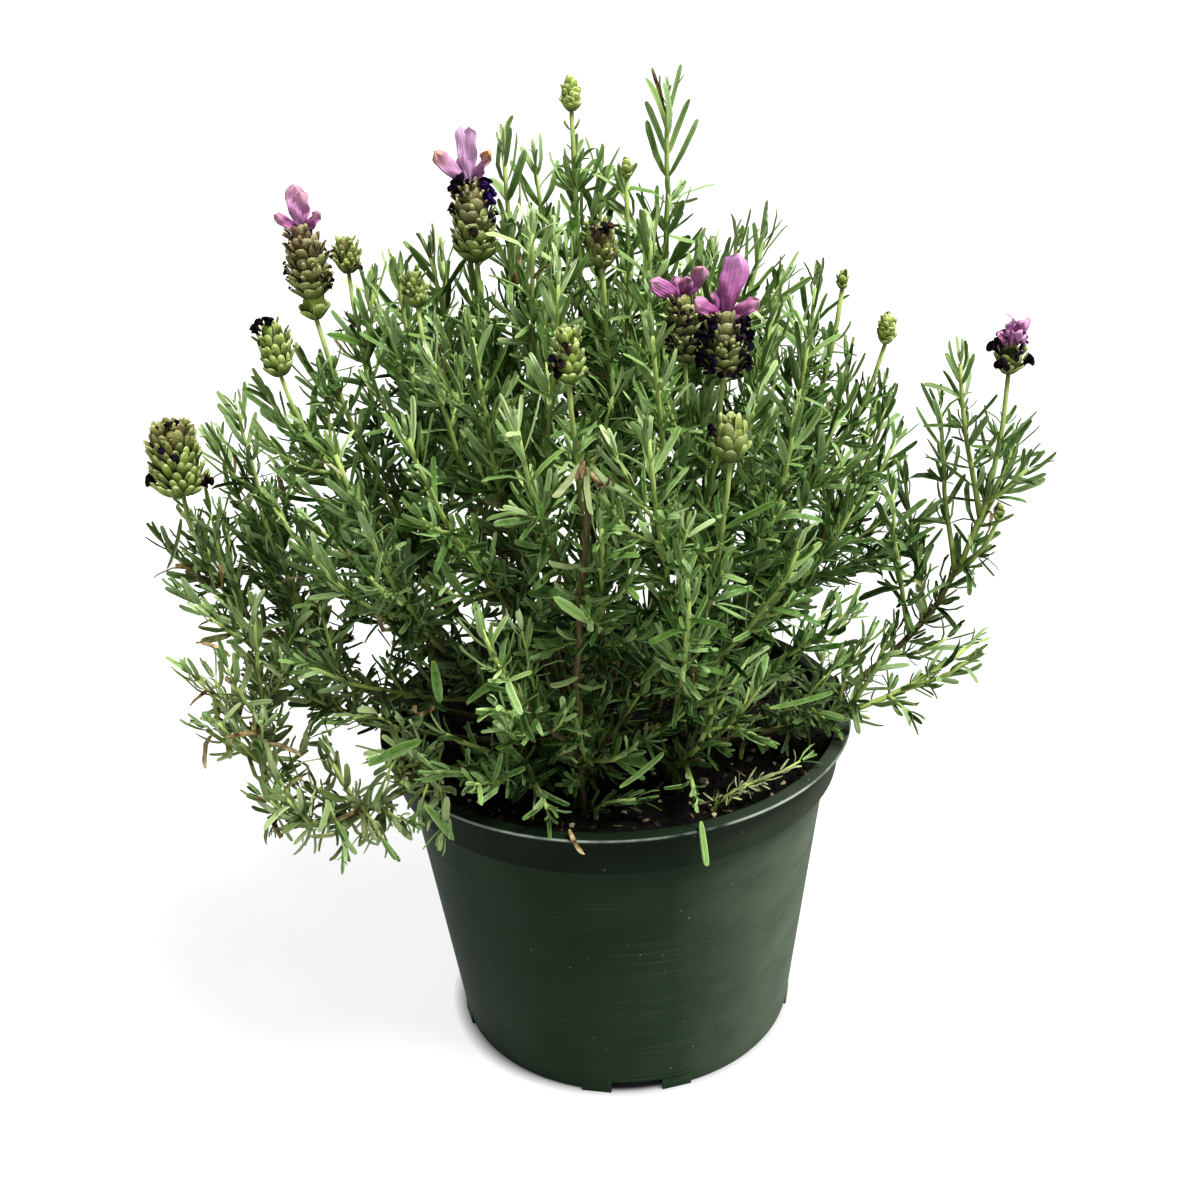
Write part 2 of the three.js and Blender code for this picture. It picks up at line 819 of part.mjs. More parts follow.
// A plump head covered in rows of staggered pointed scales, raised from its surface by a formula.
function headGeometry({ length, width, columns, rows, relief }) {
  const rings = 2 * rows + 1;
  const ball = closed(new THREE.SphereGeometry(1, columns, rings));
  return reshape(ball, (corner) => {
    const ring = Math.round((Math.acos(THREE.MathUtils.clamp(-corner.y, -1, 1)) / Math.PI) * rings);
    const share = ring / rings;
    const isPole = ring % rings === 0;
    const angle = Math.atan2(-corner.z, corner.x);
    const column = Math.round((angle / (2 * Math.PI)) * columns + columns);
    const isTipRing = ring % 2 === 0;
    const isScaleTip = !isPole && isTipRing && (column + ring / 2) % 2 === 0;
    const valley = isTipRing ? valleyShare.tips : valleyShare.roots;
    const lift = isScaleTip ? 1 + relief : 1 - relief * valley;
    const plump = isPole ? 0 : Math.sin(Math.PI * share ** headBelly.low) ** headBelly.blunt;
    const radius = (width / 2) * headFullness * plump * lift;
    const height = length * (share + (isScaleTip ? scaleRise / rings : 0));
    corner.set(Math.cos(angle) * radius, Math.sin(angle) * radius, height);
  });
}

// One petal-like bract: narrow at its foot, broad, and drawn in to a blunt point.
function bract(length, spread, turn) {
  const steps = bractWidths.length - 1;
  const rod = closed(new THREE.CylinderGeometry(1, 1, 1, 3, steps));
  const shaped = reshape(rod, (corner) => {
    const place = corner.y + 0.5;
    const isPoint = place > 0.9 && Math.hypot(corner.x, corner.z) < 0.5;
    const share = isPoint ? 1 : place * bractShoulder;
    const wide = isPoint ? 0 : bractWidths[Math.round(place * steps)] * length;
    const bend = spread * (0.4 + 0.6 * share);
    const thick = corner.z * bractThickness;
    corner.set(
      Math.sin(bend) * length * share - Math.cos(bend) * thick,
      (-corner.x * wide) / 2,
      Math.cos(bend) * length * share + Math.sin(bend) * thick,
    );
  });
  return solidOf(shaped.rotateZ(turn));
}

// A tuft of bracts that stand up and lean out from one foot.
function bractGeometry(length) {
  const pieces = bractPlaces.map(({ spread, turn, size }) => bract(length * size, spread, Math.PI * turn));
  return geometryOf(pieces.reduce((tuft, piece) => tuft.add(piece)));
}

function buildHead({ name, kind, base, along, top }) {
  const meshes = [meshOf(name, stand(headGeometry(kind), base, along), kind.colour, roughness.head)];
  if (kind.bracts) {
    const seat = top.clone().addScaledVector(along, gap);
    const tuft = stand(bractGeometry(kind.bracts), seat, along);
    meshes.push(meshOf(name.replace("head", "bracts"), tuft, colours.bract, roughness.bract));
  }
  return meshes;
}

// ---- The whole plant ---------------------------------------------------------------------------

function buildStem(stem, skeleton, seed) {
  const wood = skeleton.map((part) => solidOf(tube(part)));
  const leaves = skeleton
    .flatMap((part, i) => pairPlaces(part, part.isLeader ? stem : { ...stem, bare: armBare }, seed * 11 + i))
    .map((place) => clearPair(stem.name, place))
    .filter((pair) => pair)
    .map((pair) => solidOf(pair));
  const body = [...wood, ...leaves].reduce((whole, piece) => whole.add(piece));
  const isShaded = stem.name.includes("low") || stem.name.includes("back");
  return meshOf(stem.name, geometryOf(body), isShaded ? colours.leafDark : colours.leaf, roughness.leaf);
}

const skeletons = stems.map((stem) => growStem(stem));
const plant = new THREE.Group();
plant.name = "potted_lavender";
plant.add(buildPot());
plant.add(buildSoil());
stems.forEach((stem, seed) => plant.add(buildStem(stem, skeletons[seed], seed + 1)));
heads.forEach((head) => plant.add(...buildHead(head)));

export default plant;
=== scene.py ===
import math
import random

import bpy
import numpy as np
from mathutils import Matrix, Vector, noise
from mathutils.kdtree import KDTree


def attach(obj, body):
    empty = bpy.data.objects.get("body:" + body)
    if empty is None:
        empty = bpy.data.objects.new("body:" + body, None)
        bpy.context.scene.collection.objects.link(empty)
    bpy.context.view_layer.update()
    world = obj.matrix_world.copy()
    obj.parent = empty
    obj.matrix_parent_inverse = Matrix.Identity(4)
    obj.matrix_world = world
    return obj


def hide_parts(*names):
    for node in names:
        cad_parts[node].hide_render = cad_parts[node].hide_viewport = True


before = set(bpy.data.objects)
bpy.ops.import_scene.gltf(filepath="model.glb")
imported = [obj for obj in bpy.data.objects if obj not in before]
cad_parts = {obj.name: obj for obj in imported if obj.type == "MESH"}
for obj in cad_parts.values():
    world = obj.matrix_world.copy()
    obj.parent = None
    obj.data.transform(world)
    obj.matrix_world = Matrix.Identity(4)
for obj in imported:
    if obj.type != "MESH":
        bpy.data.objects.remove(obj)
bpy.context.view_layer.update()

mm = 0.001
up = Vector((0, 0, 1))
print("frame loaded")


def deselectAll():
    if bpy.context.object and bpy.context.object.mode != "OBJECT":
        bpy.ops.object.mode_set(mode="OBJECT")
    bpy.ops.object.select_all(action="DESELECT")


def selectOnly(first, *others):
    deselectAll()
    for obj in (first, *others):
        obj.select_set(True)
    bpy.context.view_layer.objects.active = first


def joinAll(first, others):
    selectOnly(first, *others)
    bpy.ops.object.join()
    return first


# Goes into edit mode with only the faces selected that the test picks
def editFaces(obj, isPicked):
    selectOnly(obj)
    bpy.ops.object.mode_set(mode="EDIT")
    bpy.ops.mesh.select_mode(type="FACE")
    bpy.ops.mesh.select_all(action="DESELECT")
    bpy.ops.object.mode_set(mode="OBJECT")
    for face in obj.data.polygons:
        face.select = isPicked(face)
    bpy.ops.object.mode_set(mode="EDIT")


def closeUp(obj):
    selectOnly(obj)
    bpy.ops.object.mode_set(mode="EDIT")
    bpy.ops.mesh.select_all(action="SELECT")
    bpy.ops.mesh.remove_doubles(threshold=0.001 * mm)
    bpy.ops.mesh.normals_make_consistent(inside=False)
    bpy.ops.object.mode_set(mode="OBJECT")


def applyModifier(obj, kind, **settings):
    selectOnly(obj)
    modifier = obj.modifiers.new(kind.lower(), kind)
    for name, value in settings.items():
        setattr(modifier, name, value)
    bpy.ops.object.modifier_apply(modifier=modifier.name)


def finishPiece(obj, name, slot, *nodes):
    obj.name = name
    obj.data.name = name
    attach(obj, "root")
    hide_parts(*nodes)


def linear(hexColour):
    shares = [int(hexColour[i:i + 2], 16) / 255 for i in (1, 3, 5)]
    return [s / 12.92 if s <= 0.04045 else ((s + 0.055) / 1.055) ** 2.4 for s in shares] + [1]


# Adds a node with its settings, its colour stops if it is a ramp, and its inputs: an input is a colour
# in hex, a number, or another node or output that is linked
def addNode(tree, kind, inputs=None, stops=(), **settings):
    node = tree.nodes.new("ShaderNode" + kind)
    for name, value in settings.items():
        setattr(node, name, value)
    for i, (place, colour) in enumerate(stops):
        elements = node.color_ramp.elements
        element = elements[i] if i < 2 else elements.new(place)
        element.position = place
        element.color = linear(colour)
    for socket, value in (inputs or {}).items():
        if isinstance(value, bpy.types.Node):
            value = [output for output in value.outputs if output.enabled][0]
        if isinstance(value, bpy.types.NodeSocket):
            tree.links.new(value, node.inputs[socket])
        else:
            node.inputs[socket].default_value = linear(value) if isinstance(value, str) else value
    return node


def newMaterial(name):
    material = bpy.data.materials.new(name)
    material.use_nodes = True
    material.node_tree.nodes.remove(material.node_tree.nodes["Principled BSDF"])
    return material, material.node_tree


# Ends a material in its shader, with the finish's own sockets
def finishMaterial(material, tree, inputs):
    shader = addNode(tree, "BsdfPrincipled", inputs)
    tree.links.new(shader.outputs[0], tree.nodes["Material Output"].inputs[0])
    return material


# Mottling whose grain is given in millimetres on the piece itself, spread over 0 to 1 between two levels
def mottle(tree, size, low=0.35, high=0.65, most=1.0, detail=3, stretch=(1, 1, 1)):
    place = addNode(tree, "TexCoord").outputs["Object"]
    place = addNode(tree, "Mapping", {0: place, 3: stretch})
    spots = addNode(tree, "TexNoise", {"Vector": place, "Scale": 1 / (size * mm), "Detail": detail})
    return addNode(tree, "MapRange", {0: spots, 1: low, 2: high, 4: most})


# The tint attribute of a leaf, scale or chip: three shares that its material reads
def tintShares(tree):
    tint = addNode(tree, "Attribute", attribute_name="tint").outputs["Color"]
    return addNode(tree, "SeparateColor", {0: tint}).outputs[:3]


# Where a point lies on its leaf: across from margin to margin, past 1 on the underside, and along
def leafShares(tree):
    return addNode(tree, "SeparateXYZ", {0: addNode(tree, "UVMap")}).outputs[:2]


# How far a point lies from its leaf's midrib, up to a half at the margin
def fromMidrib(tree, across):
    share = addNode(tree, "Math", {0: across}, operation="FRACT")
    share = addNode(tree, "Math", {0: share, 1: 0.5}, operation="SUBTRACT")
    return addNode(tree, "Math", {0: share}, operation="ABSOLUTE")


# Living leaf with a felt of short hairs: soft grey-green, paler below, with painted shade along its sunken
# midrib.
# Its tint says how fresh and how lit it is, with painted light high and outside the plant and painted shade
# low and inside, its own chance of light or dark, and how far it has dried.
def feltedLeaf():
    material, tree = newMaterial("lavenderLeafFelted")
    fresh, chance, dried = tintShares(tree)
    across, along = leafShares(tree)
    # The ramp runs from dark to pale: partly leaf age, partly painted light, lighter high and outside the
    # plant and painted shade low and inside
    colour = addNode(tree, "ValToRGB", {0: fresh},
                     [(0, "#0f2006"), (1, "#bac998"), (0.35, "#385c1c"), (0.7, "#7f9a5b")])
    below = addNode(tree, "Math", {0: across, 1: 1.0}, operation="GREATER_THAN")
    below = addNode(tree, "Math", {0: below, 1: 0.55}, operation="MULTIPLY")
    colour = addNode(tree, "Mix", {0: below, 6: colour, 7: "#82996a"}, data_type="RGBA")
    fromRib = fromMidrib(tree, across)
    # Painted shade in the sunken midrib: a dark line down the middle of the leaf
    grooveShade = addNode(tree, "MapRange", {0: fromRib, 1: 0.1, 2: 0.02, 4: 0.4})
    colour = addNode(tree, "Mix", {0: grooveShade, 6: colour, 7: "#1c320f"}, data_type="RGBA")
    margin = addNode(tree, "MapRange", {0: fromRib, 1: 0.3, 2: 0.5, 4: 0.36})
    colour = addNode(tree, "Mix", {0: margin, 6: colour, 7: "#aebb9c"}, data_type="RGBA")
    foot = addNode(tree, "MapRange", {0: along, 1: 0.15, 2: 0.0, 4: 0.5})
    colour = addNode(tree, "Mix", {0: foot, 6: colour, 7: "#a3b56a"}, data_type="RGBA")
    bloom = mottle(tree, 2.2, 0.35, 0.7, 0.34)
    colour = addNode(tree, "Mix", {0: bloom, 6: colour, 7: "#98a987"}, data_type="RGBA")
    straw = addNode(tree, "ValToRGB", {0: mottle(tree, 3)}, [(0, "#5d4d38"), (1, "#b5a785")])
    # Half dried, the felt shows grey; right through, the leaf is straw
    past = addNode(tree, "MapRange", {0: dried, 1: 0.45, 2: 0.75})
    grey = addNode(tree, "Mix", {0: past, 6: "#939d7a", 7: straw}, data_type="RGBA")
    dull = addNode(tree, "MapRange", {0: dried, 2: 0.75})
    colour = addNode(tree, "Mix", {0: dull, 6: colour, 7: grey}, data_type="RGBA")
    value = addNode(tree, "MapRange", {0: chance, 3: 1.0, 4: 1.35})
    colour = addNode(tree, "HueSaturation", {"Color": colour, "Value": value})
    depth = addNode(tree, "MapRange", {0: chance, 3: 1.62, 4: 0.98})
    colour = addNode(tree, "Gamma", {0: colour, 1: depth})
    felt = addNode(tree, "Bump", {"Height": mottle(tree, 0.5), "Distance": 0.08 * mm, "Strength": 0.5})
    return finishMaterial(material, tree, {
        "Base Color": colour, "Roughness": 0.62, "Normal": felt,
        "Sheen Weight": 0.01, "Sheen Roughness": 0.5, "Specular IOR Level": 0.05})


# Young square stem, downy and yellow-green, that turns to brown ridged bark lower down
def stemBark():
    material, tree = newMaterial("lavenderStemBark")
    fresh = tintShares(tree)[0]
    colour = addNode(tree, "ValToRGB", {0: fresh},
                     [(0, "#3c2c20"), (1, "#abbf72"), (0.2, "#5a4733"), (0.5, "#84964c")])
    ridges = mottle(tree, 0.9, stretch=(1, 1, 0.12))
    pale = addNode(tree, "Math", {0: ridges, 1: 0.35}, operation="MULTIPLY")
    colour = addNode(tree, "Mix", {0: pale, 6: colour, 7: "#7f8a52"}, data_type="RGBA")
    bump = addNode(tree, "Bump", {"Height": ridges, "Distance": 0.15 * mm, "Strength": 0.6})
    return finishMaterial(material, tree, {
        "Base Color": colour, "Roughness": 0.7, "Normal": bump, "Specular IOR Level": 0.2})


# Plump calyx of a flower head: grey-green, ribbed and downy, paler at its tip and dark at its foot, where the
# dark is painted shade under the scales that overlap it. Its tint says how far it blushes purple, its own
# chance of light or dark, and how far it has browned.
def downyCalyx():
    material, tree = newMaterial("lavenderCalyxDowny")
    blush, chance, dried = tintShares(tree)
    across, along = leafShares(tree)
    # Dark at the foot and pale at the tip: the dark foot is painted shade under the overlapping scales
    colour = addNode(tree, "ValToRGB", {0: along},
                     [(0, "#26330c"), (1, "#cbd79c"), (0.45, "#6e852f"), (0.8, "#a2b75c")])
    ribs = addNode(tree, "Math", {0: across, 1: 38.0}, operation="MULTIPLY")
    ribs = addNode(tree, "Math", {0: ribs}, operation="SINE")
    ribs = addNode(tree, "MapRange", {0: ribs, 1: 0.1, 2: 1, 4: 0.3})
    colour = addNode(tree, "Mix", {0: ribs, 6: colour, 7: "#4b5d1f"}, data_type="RGBA")
    fringe = addNode(tree, "MapRange", {0: fromMidrib(tree, across), 1: 0.3, 2: 0.5, 4: 0.45})
    colour = addNode(tree, "Mix", {0: fringe, 6: colour, 7: "#c9d296"}, data_type="RGBA")
    blotches = mottle(tree, 1.1, 0.46, 0.7, 0.42)
    colour = addNode(tree, "Mix", {0: blotches, 6: colour, 7: "#4f5f22"}, data_type="RGBA")
    # The purple too darkens towards the foot: painted shade under the overlapping scales
    purple = addNode(tree, "ValToRGB", {0: along}, [(0, "#2b1d20"), (1, "#b8a38e"), (0.6, "#7c6058")])
    colour = addNode(tree, "Mix", {0: blush, 6: colour, 7: purple}, data_type="RGBA")
    brown = addNode(tree, "ValToRGB", {0: mottle(tree, 1.5)}, [(0, "#3a2716"), (1, "#85694a")])
    colour = addNode(tree, "Mix", {0: dried, 6: colour, 7: brown}, data_type="RGBA")
    value = addNode(tree, "MapRange", {0: chance, 3: 0.5, 4: 1.35})
    colour = addNode(tree, "HueSaturation", {"Color": colour, "Value": value})
    down = addNode(tree, "Bump", {"Height": mottle(tree, 0.45), "Distance": 0.2 * mm, "Strength": 0.8})
    return finishMaterial(material, tree, {
        "Base Color": colour, "Roughness": 0.8, "Normal": down, "Sheen Weight": 0.06,
        "Specular IOR Level": 0.2})


# Fresh or shrivelled corolla: violet so dark that it reads as black, with a faint paler mottle
def velvetFloret():
    material, tree = newMaterial("lavenderFloretVelvet")
    violet, _, dried = tintShares(tree)
    colour = addNode(tree, "Mix", {0: violet, 6: "#040205", 7: "#2a0d52"}, data_type="RGBA")
    colour = addNode(tree, "Mix", {0: dried, 6: colour, 7: "#3f2c1e"}, data_type="RGBA")
    colour = addNode(tree, "Mix", {0: mottle(tree, 0.7, 0.5, 0.8, 0.06), 6: colour, 7: "#2c1f30"},
                     data_type="RGBA")
    return finishMaterial(material, tree, {
        "Base Color": colour, "Roughness": 0.7, "Specular IOR Level": 0.1})


# Thin petal-like bract: lilac tissue with darker veins that run up from its foot. Its tint says how pale
# it is and how far it has withered from the tip.
def veinedBract():
    material, tree = newMaterial("lavenderBractTissue")
    pale, _, dried = tintShares(tree)
    across, along = leafShares(tree)
    colour = addNode(tree, "ValToRGB", {0: along},
                     [(0, "#55204a"), (1, "#c594bd"), (0.3, "#92477d"), (0.7, "#ad6a9d")])
    wander = addNode(tree, "Math", {0: mottle(tree, 3, 0, 1), 1: 0.12, 2: across}, operation="MULTIPLY_ADD")
    lines = addNode(tree, "Math", {0: wander, 1: 40.0}, operation="MULTIPLY")
    lines = addNode(tree, "Math", {0: lines}, operation="COSINE")
    fade = addNode(tree, "MapRange", {0: along, 1: 0.95, 2: 0.2, 3: 0.1, 4: 0.75})
    veins = addNode(tree, "MapRange", {0: lines, 1: 0.6, 2: 1})
    veins = addNode(tree, "Math", {0: veins, 1: fade}, operation="MULTIPLY")
    colour = addNode(tree, "Mix", {0: veins, 6: colour, 7: "#732a66"}, data_type="RGBA")
    pale = addNode(tree, "Math", {0: pale, 1: 0.72}, operation="MULTIPLY")
    colour = addNode(tree, "Mix", {0: pale, 6: colour, 7: "#dbb6d8"}, data_type="RGBA")
    tipward = addNode(tree, "MapRange", {0: along, 1: 0.55, 2: 0.9})
    tipward = addNode(tree, "Math", {0: tipward, 1: dried}, operation="MULTIPLY")
    brown = addNode(tree, "ValToRGB", {0: mottle(tree, 1.5)}, [(0, "#8a5a35"), (1, "#cfa069")])
    colour = addNode(tree, "Mix", {0: tipward, 6: colour, 7: brown}, data_type="RGBA")
    bump = addNode(tree, "Bump", {"Height": lines, "Distance": 0.08 * mm, "Strength": 0.5})
    return finishMaterial(material, tree, {
        "Base Color": colour, "Roughness": 0.6, "Normal": bump, "Specular IOR Level": 0.25})


# Injection-moulded polypropylene, dark green: satin, with a dusty, scuffed side that is also painted lighter
# as if lit from the right, a worn rim with a painted highlight along its edge, and painted shade on the
# collar under the lip
def mouldedPlastic():
    material, tree = newMaterial("potPolypropyleneMoulded")
    place = addNode(tree, "TexCoord").outputs["Object"]
    x, y, z = addNode(tree, "SeparateXYZ", {0: place}).outputs
    colour = addNode(tree, "ValToRGB", {0: mottle(tree, 30, 0.3, 0.7)}, [(0, "#213121"), (1, "#29392a")])
    # Hoops that stacking rubs into the wall, one to a few in each millimetre
    turn = addNode(tree, "Math", {0: y, 1: x}, operation="ARCTAN2")
    height = addNode(tree, "Math", {0: z, 1: 1.6 / mm}, operation="MULTIPLY")
    hoops = addNode(tree, "CombineXYZ", {0: turn, 2: height})
    hoops = addNode(tree, "TexNoise", {"Vector": hoops, "Scale": 1.0, "Detail": 3.0})
    rubbed = addNode(tree, "MapRange", {0: hoops, 1: 0.52, 2: 0.75, 4: 0.3})
    rubbed = addNode(tree, "Math", {0: rubbed, 1: mottle(tree, 22, 0.4, 0.7)}, operation="MULTIPLY")
    # Dust and painted light: the wall turns paler towards its right side in wiped streaks, brightest at the
    # right edge, as if lit from there
    side = addNode(tree, "MapRange", {0: x, 1: 15 * mm, 2: 80 * mm, 4: 0.95})
    wide = addNode(tree, "Math", {0: turn, 1: 2.2}, operation="MULTIPLY")
    high = addNode(tree, "Math", {0: z, 1: 0.09 / mm}, operation="MULTIPLY")
    wipes = addNode(tree, "CombineXYZ", {0: wide, 2: high})
    wipes = addNode(tree, "TexNoise", {"Vector": wipes, "Scale": 1.0, "Detail": 6.0, "Roughness": 0.65})
    wipes = addNode(tree, "MapRange", {0: wipes, 1: 0.25, 2: 0.7, 3: 0.35})
    dustAndSideLight = addNode(tree, "Math", {0: side, 1: wipes}, operation="MULTIPLY")
    colour = addNode(tree, "Mix", {0: dustAndSideLight, 6: colour, 7: "#717b69"}, data_type="RGBA")
    colour = addNode(tree, "Mix", {0: rubbed, 6: colour, 7: "#5a6354"}, data_type="RGBA")
    # Painted shade: the collar under the lip is darkened, as if shaded by the lip above it
    collar = addNode(tree, "MapRange", {0: z, 1: 101.4 * mm, 2: 102.2 * mm, 4: 0.6})
    colour = addNode(tree, "Mix", {0: collar, 6: colour, 7: "#0b120a"}, data_type="RGBA")
    specks = mottle(tree, 1.3, 0.79, 0.81, 0.6, detail=1)
    colour = addNode(tree, "Mix", {0: specks, 6: colour, 7: "#a7aa98"}, data_type="RGBA")
    # Handling wears the lip's outer edge pale, and the pale line is also a painted highlight along that edge
    edge = addNode(tree, "VectorMath", {0: place, 1: (1, 1, 0)}, operation="MULTIPLY")
    edge = addNode(tree, "VectorMath", {0: edge}, operation="LENGTH").outputs["Value"]
    edge = addNode(tree, "MapRange", {0: edge, 1: 81.9 * mm, 2: 82.4 * mm})
    rim = addNode(tree, "MapRange", {0: z, 1: 116.7 * mm, 2: 117.4 * mm, 4: 0.85})
    rim = addNode(tree, "Math", {0: rim, 1: edge}, operation="MULTIPLY")
    wearAndHighlight = addNode(tree, "Math", {0: rim, 1: mottle(tree, 12, 0.3, 0.6, detail=4)}, operation="MULTIPLY")
    colour = addNode(tree, "Mix", {0: wearAndHighlight, 6: colour, 7: "#a4aca0"}, data_type="RGBA")
    rough = addNode(tree, "Math", {0: dustAndSideLight, 1: 0.3, 2: 0.5}, operation="MULTIPLY_ADD")
    bump = addNode(tree, "Bump", {"Height": hoops, "Distance": 0.03 * mm, "Strength": 0.4})
    return finishMaterial(material, tree, {
        "Base Color": colour, "Roughness": rough, "Normal": bump, "IOR": 1.49, "Specular IOR Level": 0.05})


# Damp peat: near black and crumbly, with brown fibres showing through
def dampPeat():
    material, tree = newMaterial("soilPeatDamp")
    colour = addNode(tree, "ValToRGB", {0: mottle(tree, 2.5, 0.3, 0.75, detail=5)},
                     [(0, "#060502"), (1, "#2a2213"), (0.6, "#100d07")])
    bump = addNode(tree, "Bump", {"Height": mottle(tree, 0.9, detail=4), "Distance": 0.6 * mm})
    return finishMaterial(material, tree, {
        "Base Color": colour, "Roughness": 0.95, "Normal": bump, "Specular IOR Level": 0.25})


# Shredded bark and fibre in the mix: from near black to tan, by the tint of each bit
def shreddedBark():
    material, tree = newMaterial("soilBarkShredded")
    shade = tintShares(tree)[0]
    colour = addNode(tree, "ValToRGB", {0: shade},
                     [(0, "#110d07"), (1, "#948a64"), (0.5, "#2c2516"), (0.85, "#5f563a")])
    strands = mottle(tree, 1, 0.4, 0.7, 0.5, 4, (1, 1, 0.3))
    colour = addNode(tree, "Mix", {0: strands, 6: colour, 7: "#2a1d12"}, data_type="RGBA")
    bump = addNode(tree, "Bump", {"Height": mottle(tree, 0.5), "Distance": 0.2 * mm, "Strength": 0.8})
    return finishMaterial(material, tree, {"Base Color": colour, "Roughness": 0.9, "Normal": bump})


# Expanded perlite: pale, porous crumbs, a little stained by the peat
def stainedPerlite():
    material, tree = newMaterial("soilPerliteExpanded")
    colour = addNode(tree, "ValToRGB", {0: mottle(tree, 0.8)}, [(0, "#8c8059"), (1, "#cfc9a6")])
    bump = addNode(tree, "Bump", {"Height": mottle(tree, 0.5), "Distance": 0.25 * mm})
    return finishMaterial(material, tree, {"Base Color": colour, "Roughness": 0.9, "Normal": bump})


leafSurface = feltedLeaf()
barkSurface = stemBark()
calyxSurface = downyCalyx()
floretSurface = velvetFloret()
bractSurface = veinedBract()
potSurface = mouldedPlastic()
peatSurface = dampPeat()
chipSurface = shreddedBark()
perliteSurface = stainedPerlite()
print("materials made")


# Millimetres, as the mould makes them: a tapered wall, a stepped collar, a flat lip, four slots in the foot
pot = {
    "sides": 144,
    "footRadius": 60.8,
    "footRound": 1.2,
    "wallTopRadius": 74.3,
    "collarHeight": 101.5,
    "collarFootRadius": 77.8,
    "collarTopRadius": 78.6,
    "collarRound": 0.9,
    "rimRadius": 82.5,
    "rimHeight": 117.7,
    "rimThickness": 1.3,
    "wall": 1.5,
    "floor": 2.0,
    "innerStep": 2.0,
    "slots": 4,
    "slotTurn": -88.5,
    "slotWidth": 17.5,
    "slotHeight": 4.5,
    "slotReach": 5.0,
    "blockWidth": 10.5,
    "blockHeight": 5.0,
    "blockProud": 0.5,
    "ribHeights": (5.6, 6.2),
    "ribTurns": (-95, -71),
    "ribProud": 0.35,
}


def arcRings(radius, height, bend, start, end, steps=4):
    turns = [math.radians(start + (end - start) * i / steps) for i in range(steps + 1)]
    return [(radius + bend * math.cos(turn), height + bend * math.sin(turn)) for turn in turns]


# A round body drawn up from a disc: each ring is an extrusion of the last, scaled to its radius
def turnedBody(rings, sides):
    deselectAll()
    radius, height = rings[0]
    bpy.ops.mesh.primitive_circle_add(vertices=sides, radius=radius * mm, fill_type="NGON",
                                      location=(0, 0, height * mm))
    body = bpy.context.object
    bpy.ops.object.transform_apply(location=True)
    bpy.ops.object.mode_set(mode="EDIT")
    bpy.ops.mesh.select_all(action="SELECT")
    for nextRadius, nextHeight in rings[1:]:
        share = nextRadius / radius
        bpy.ops.mesh.extrude_region_move(TRANSFORM_OT_translate={"value": (0, 0, (nextHeight - height) * mm)})
        bpy.ops.transform.resize(value=(share, share, 1), center_override=(0, 0, nextHeight * mm))
        radius, height = nextRadius, nextHeight
    closeUp(body)
    return body


def potRings():
    def wallAt(height):
        share = height / pot["collarHeight"]
        return pot["footRadius"] + (pot["wallTopRadius"] - pot["footRadius"]) * share

    lip = pot["rimThickness"] / 2
    bend = pot["collarRound"]
    innerTop = pot["collarTopRadius"] - pot["wall"]
    innerFoot = pot["collarHeight"] + pot["wall"]
    rings = arcRings(pot["footRadius"] - pot["footRound"], pot["footRound"], pot["footRound"], -90, 0)
    rings += [(wallAt(height), height) for height in (*pot["ribHeights"], 25, 50, 75)]
    rings += arcRings(pot["wallTopRadius"] + bend, pot["collarHeight"] - bend, bend, 180, 90)
    rings += arcRings(pot["collarFootRadius"] - bend, pot["collarHeight"] + bend, bend, -90, 0)
    rings += arcRings(pot["collarTopRadius"] + bend, pot["rimHeight"] - 2 * lip - bend, bend, 180, 90)
    rings += arcRings(pot["rimRadius"] - lip, pot["rimHeight"] - lip, lip, -90, 90, 6)
    rings += arcRings(innerTop + bend, pot["rimHeight"] - bend, bend, 90, 180)
    rings += [(pot["collarFootRadius"] - pot["wall"], innerFoot + pot["innerStep"]),
              (pot["wallTopRadius"] - pot["wall"], innerFoot),
              (pot["footRadius"] - pot["wall"], pot["floor"])]
    return rings


# A box with eased edges, square to the wall where it stands
def footBox(size, reach, turn, edge):
    deselectAll()
    bpy.ops.mesh.primitive_cube_add(size=1)
    box = bpy.context.object
    bpy.ops.object.mode_set(mode="EDIT")
    bpy.ops.transform.resize(value=[side * mm for side in size])
    bpy.ops.mesh.bevel(offset=edge * mm, segments=2)
    bpy.ops.object.mode_set(mode="OBJECT")
    turn = math.radians(turn)
    box.location = (reach * math.cos(turn) * mm, reach * math.sin(turn) * mm, size[2] / 2 * mm)
    box.rotation_euler = (0, 0, turn)
    bpy.ops.object.transform_apply(location=True, rotation=True)
    return box


def cutOrAdd(body, tool, operation):
    applyModifier(body, "BOOLEAN", object=tool, operation=operation, solver="EXACT")
    bpy.data.objects.remove(tool)


def isOnRib(face):
    turn = math.degrees(math.atan2(face.center.y, face.center.x))
    low, high = pot["ribHeights"]
    isHigh = low * mm < face.center.z < high * mm and pot["ribTurns"][0] < turn < pot["ribTurns"][1]
    return isHigh and math.hypot(face.center.x, face.center.y) > (pot["footRadius"] - 0.5) * mm


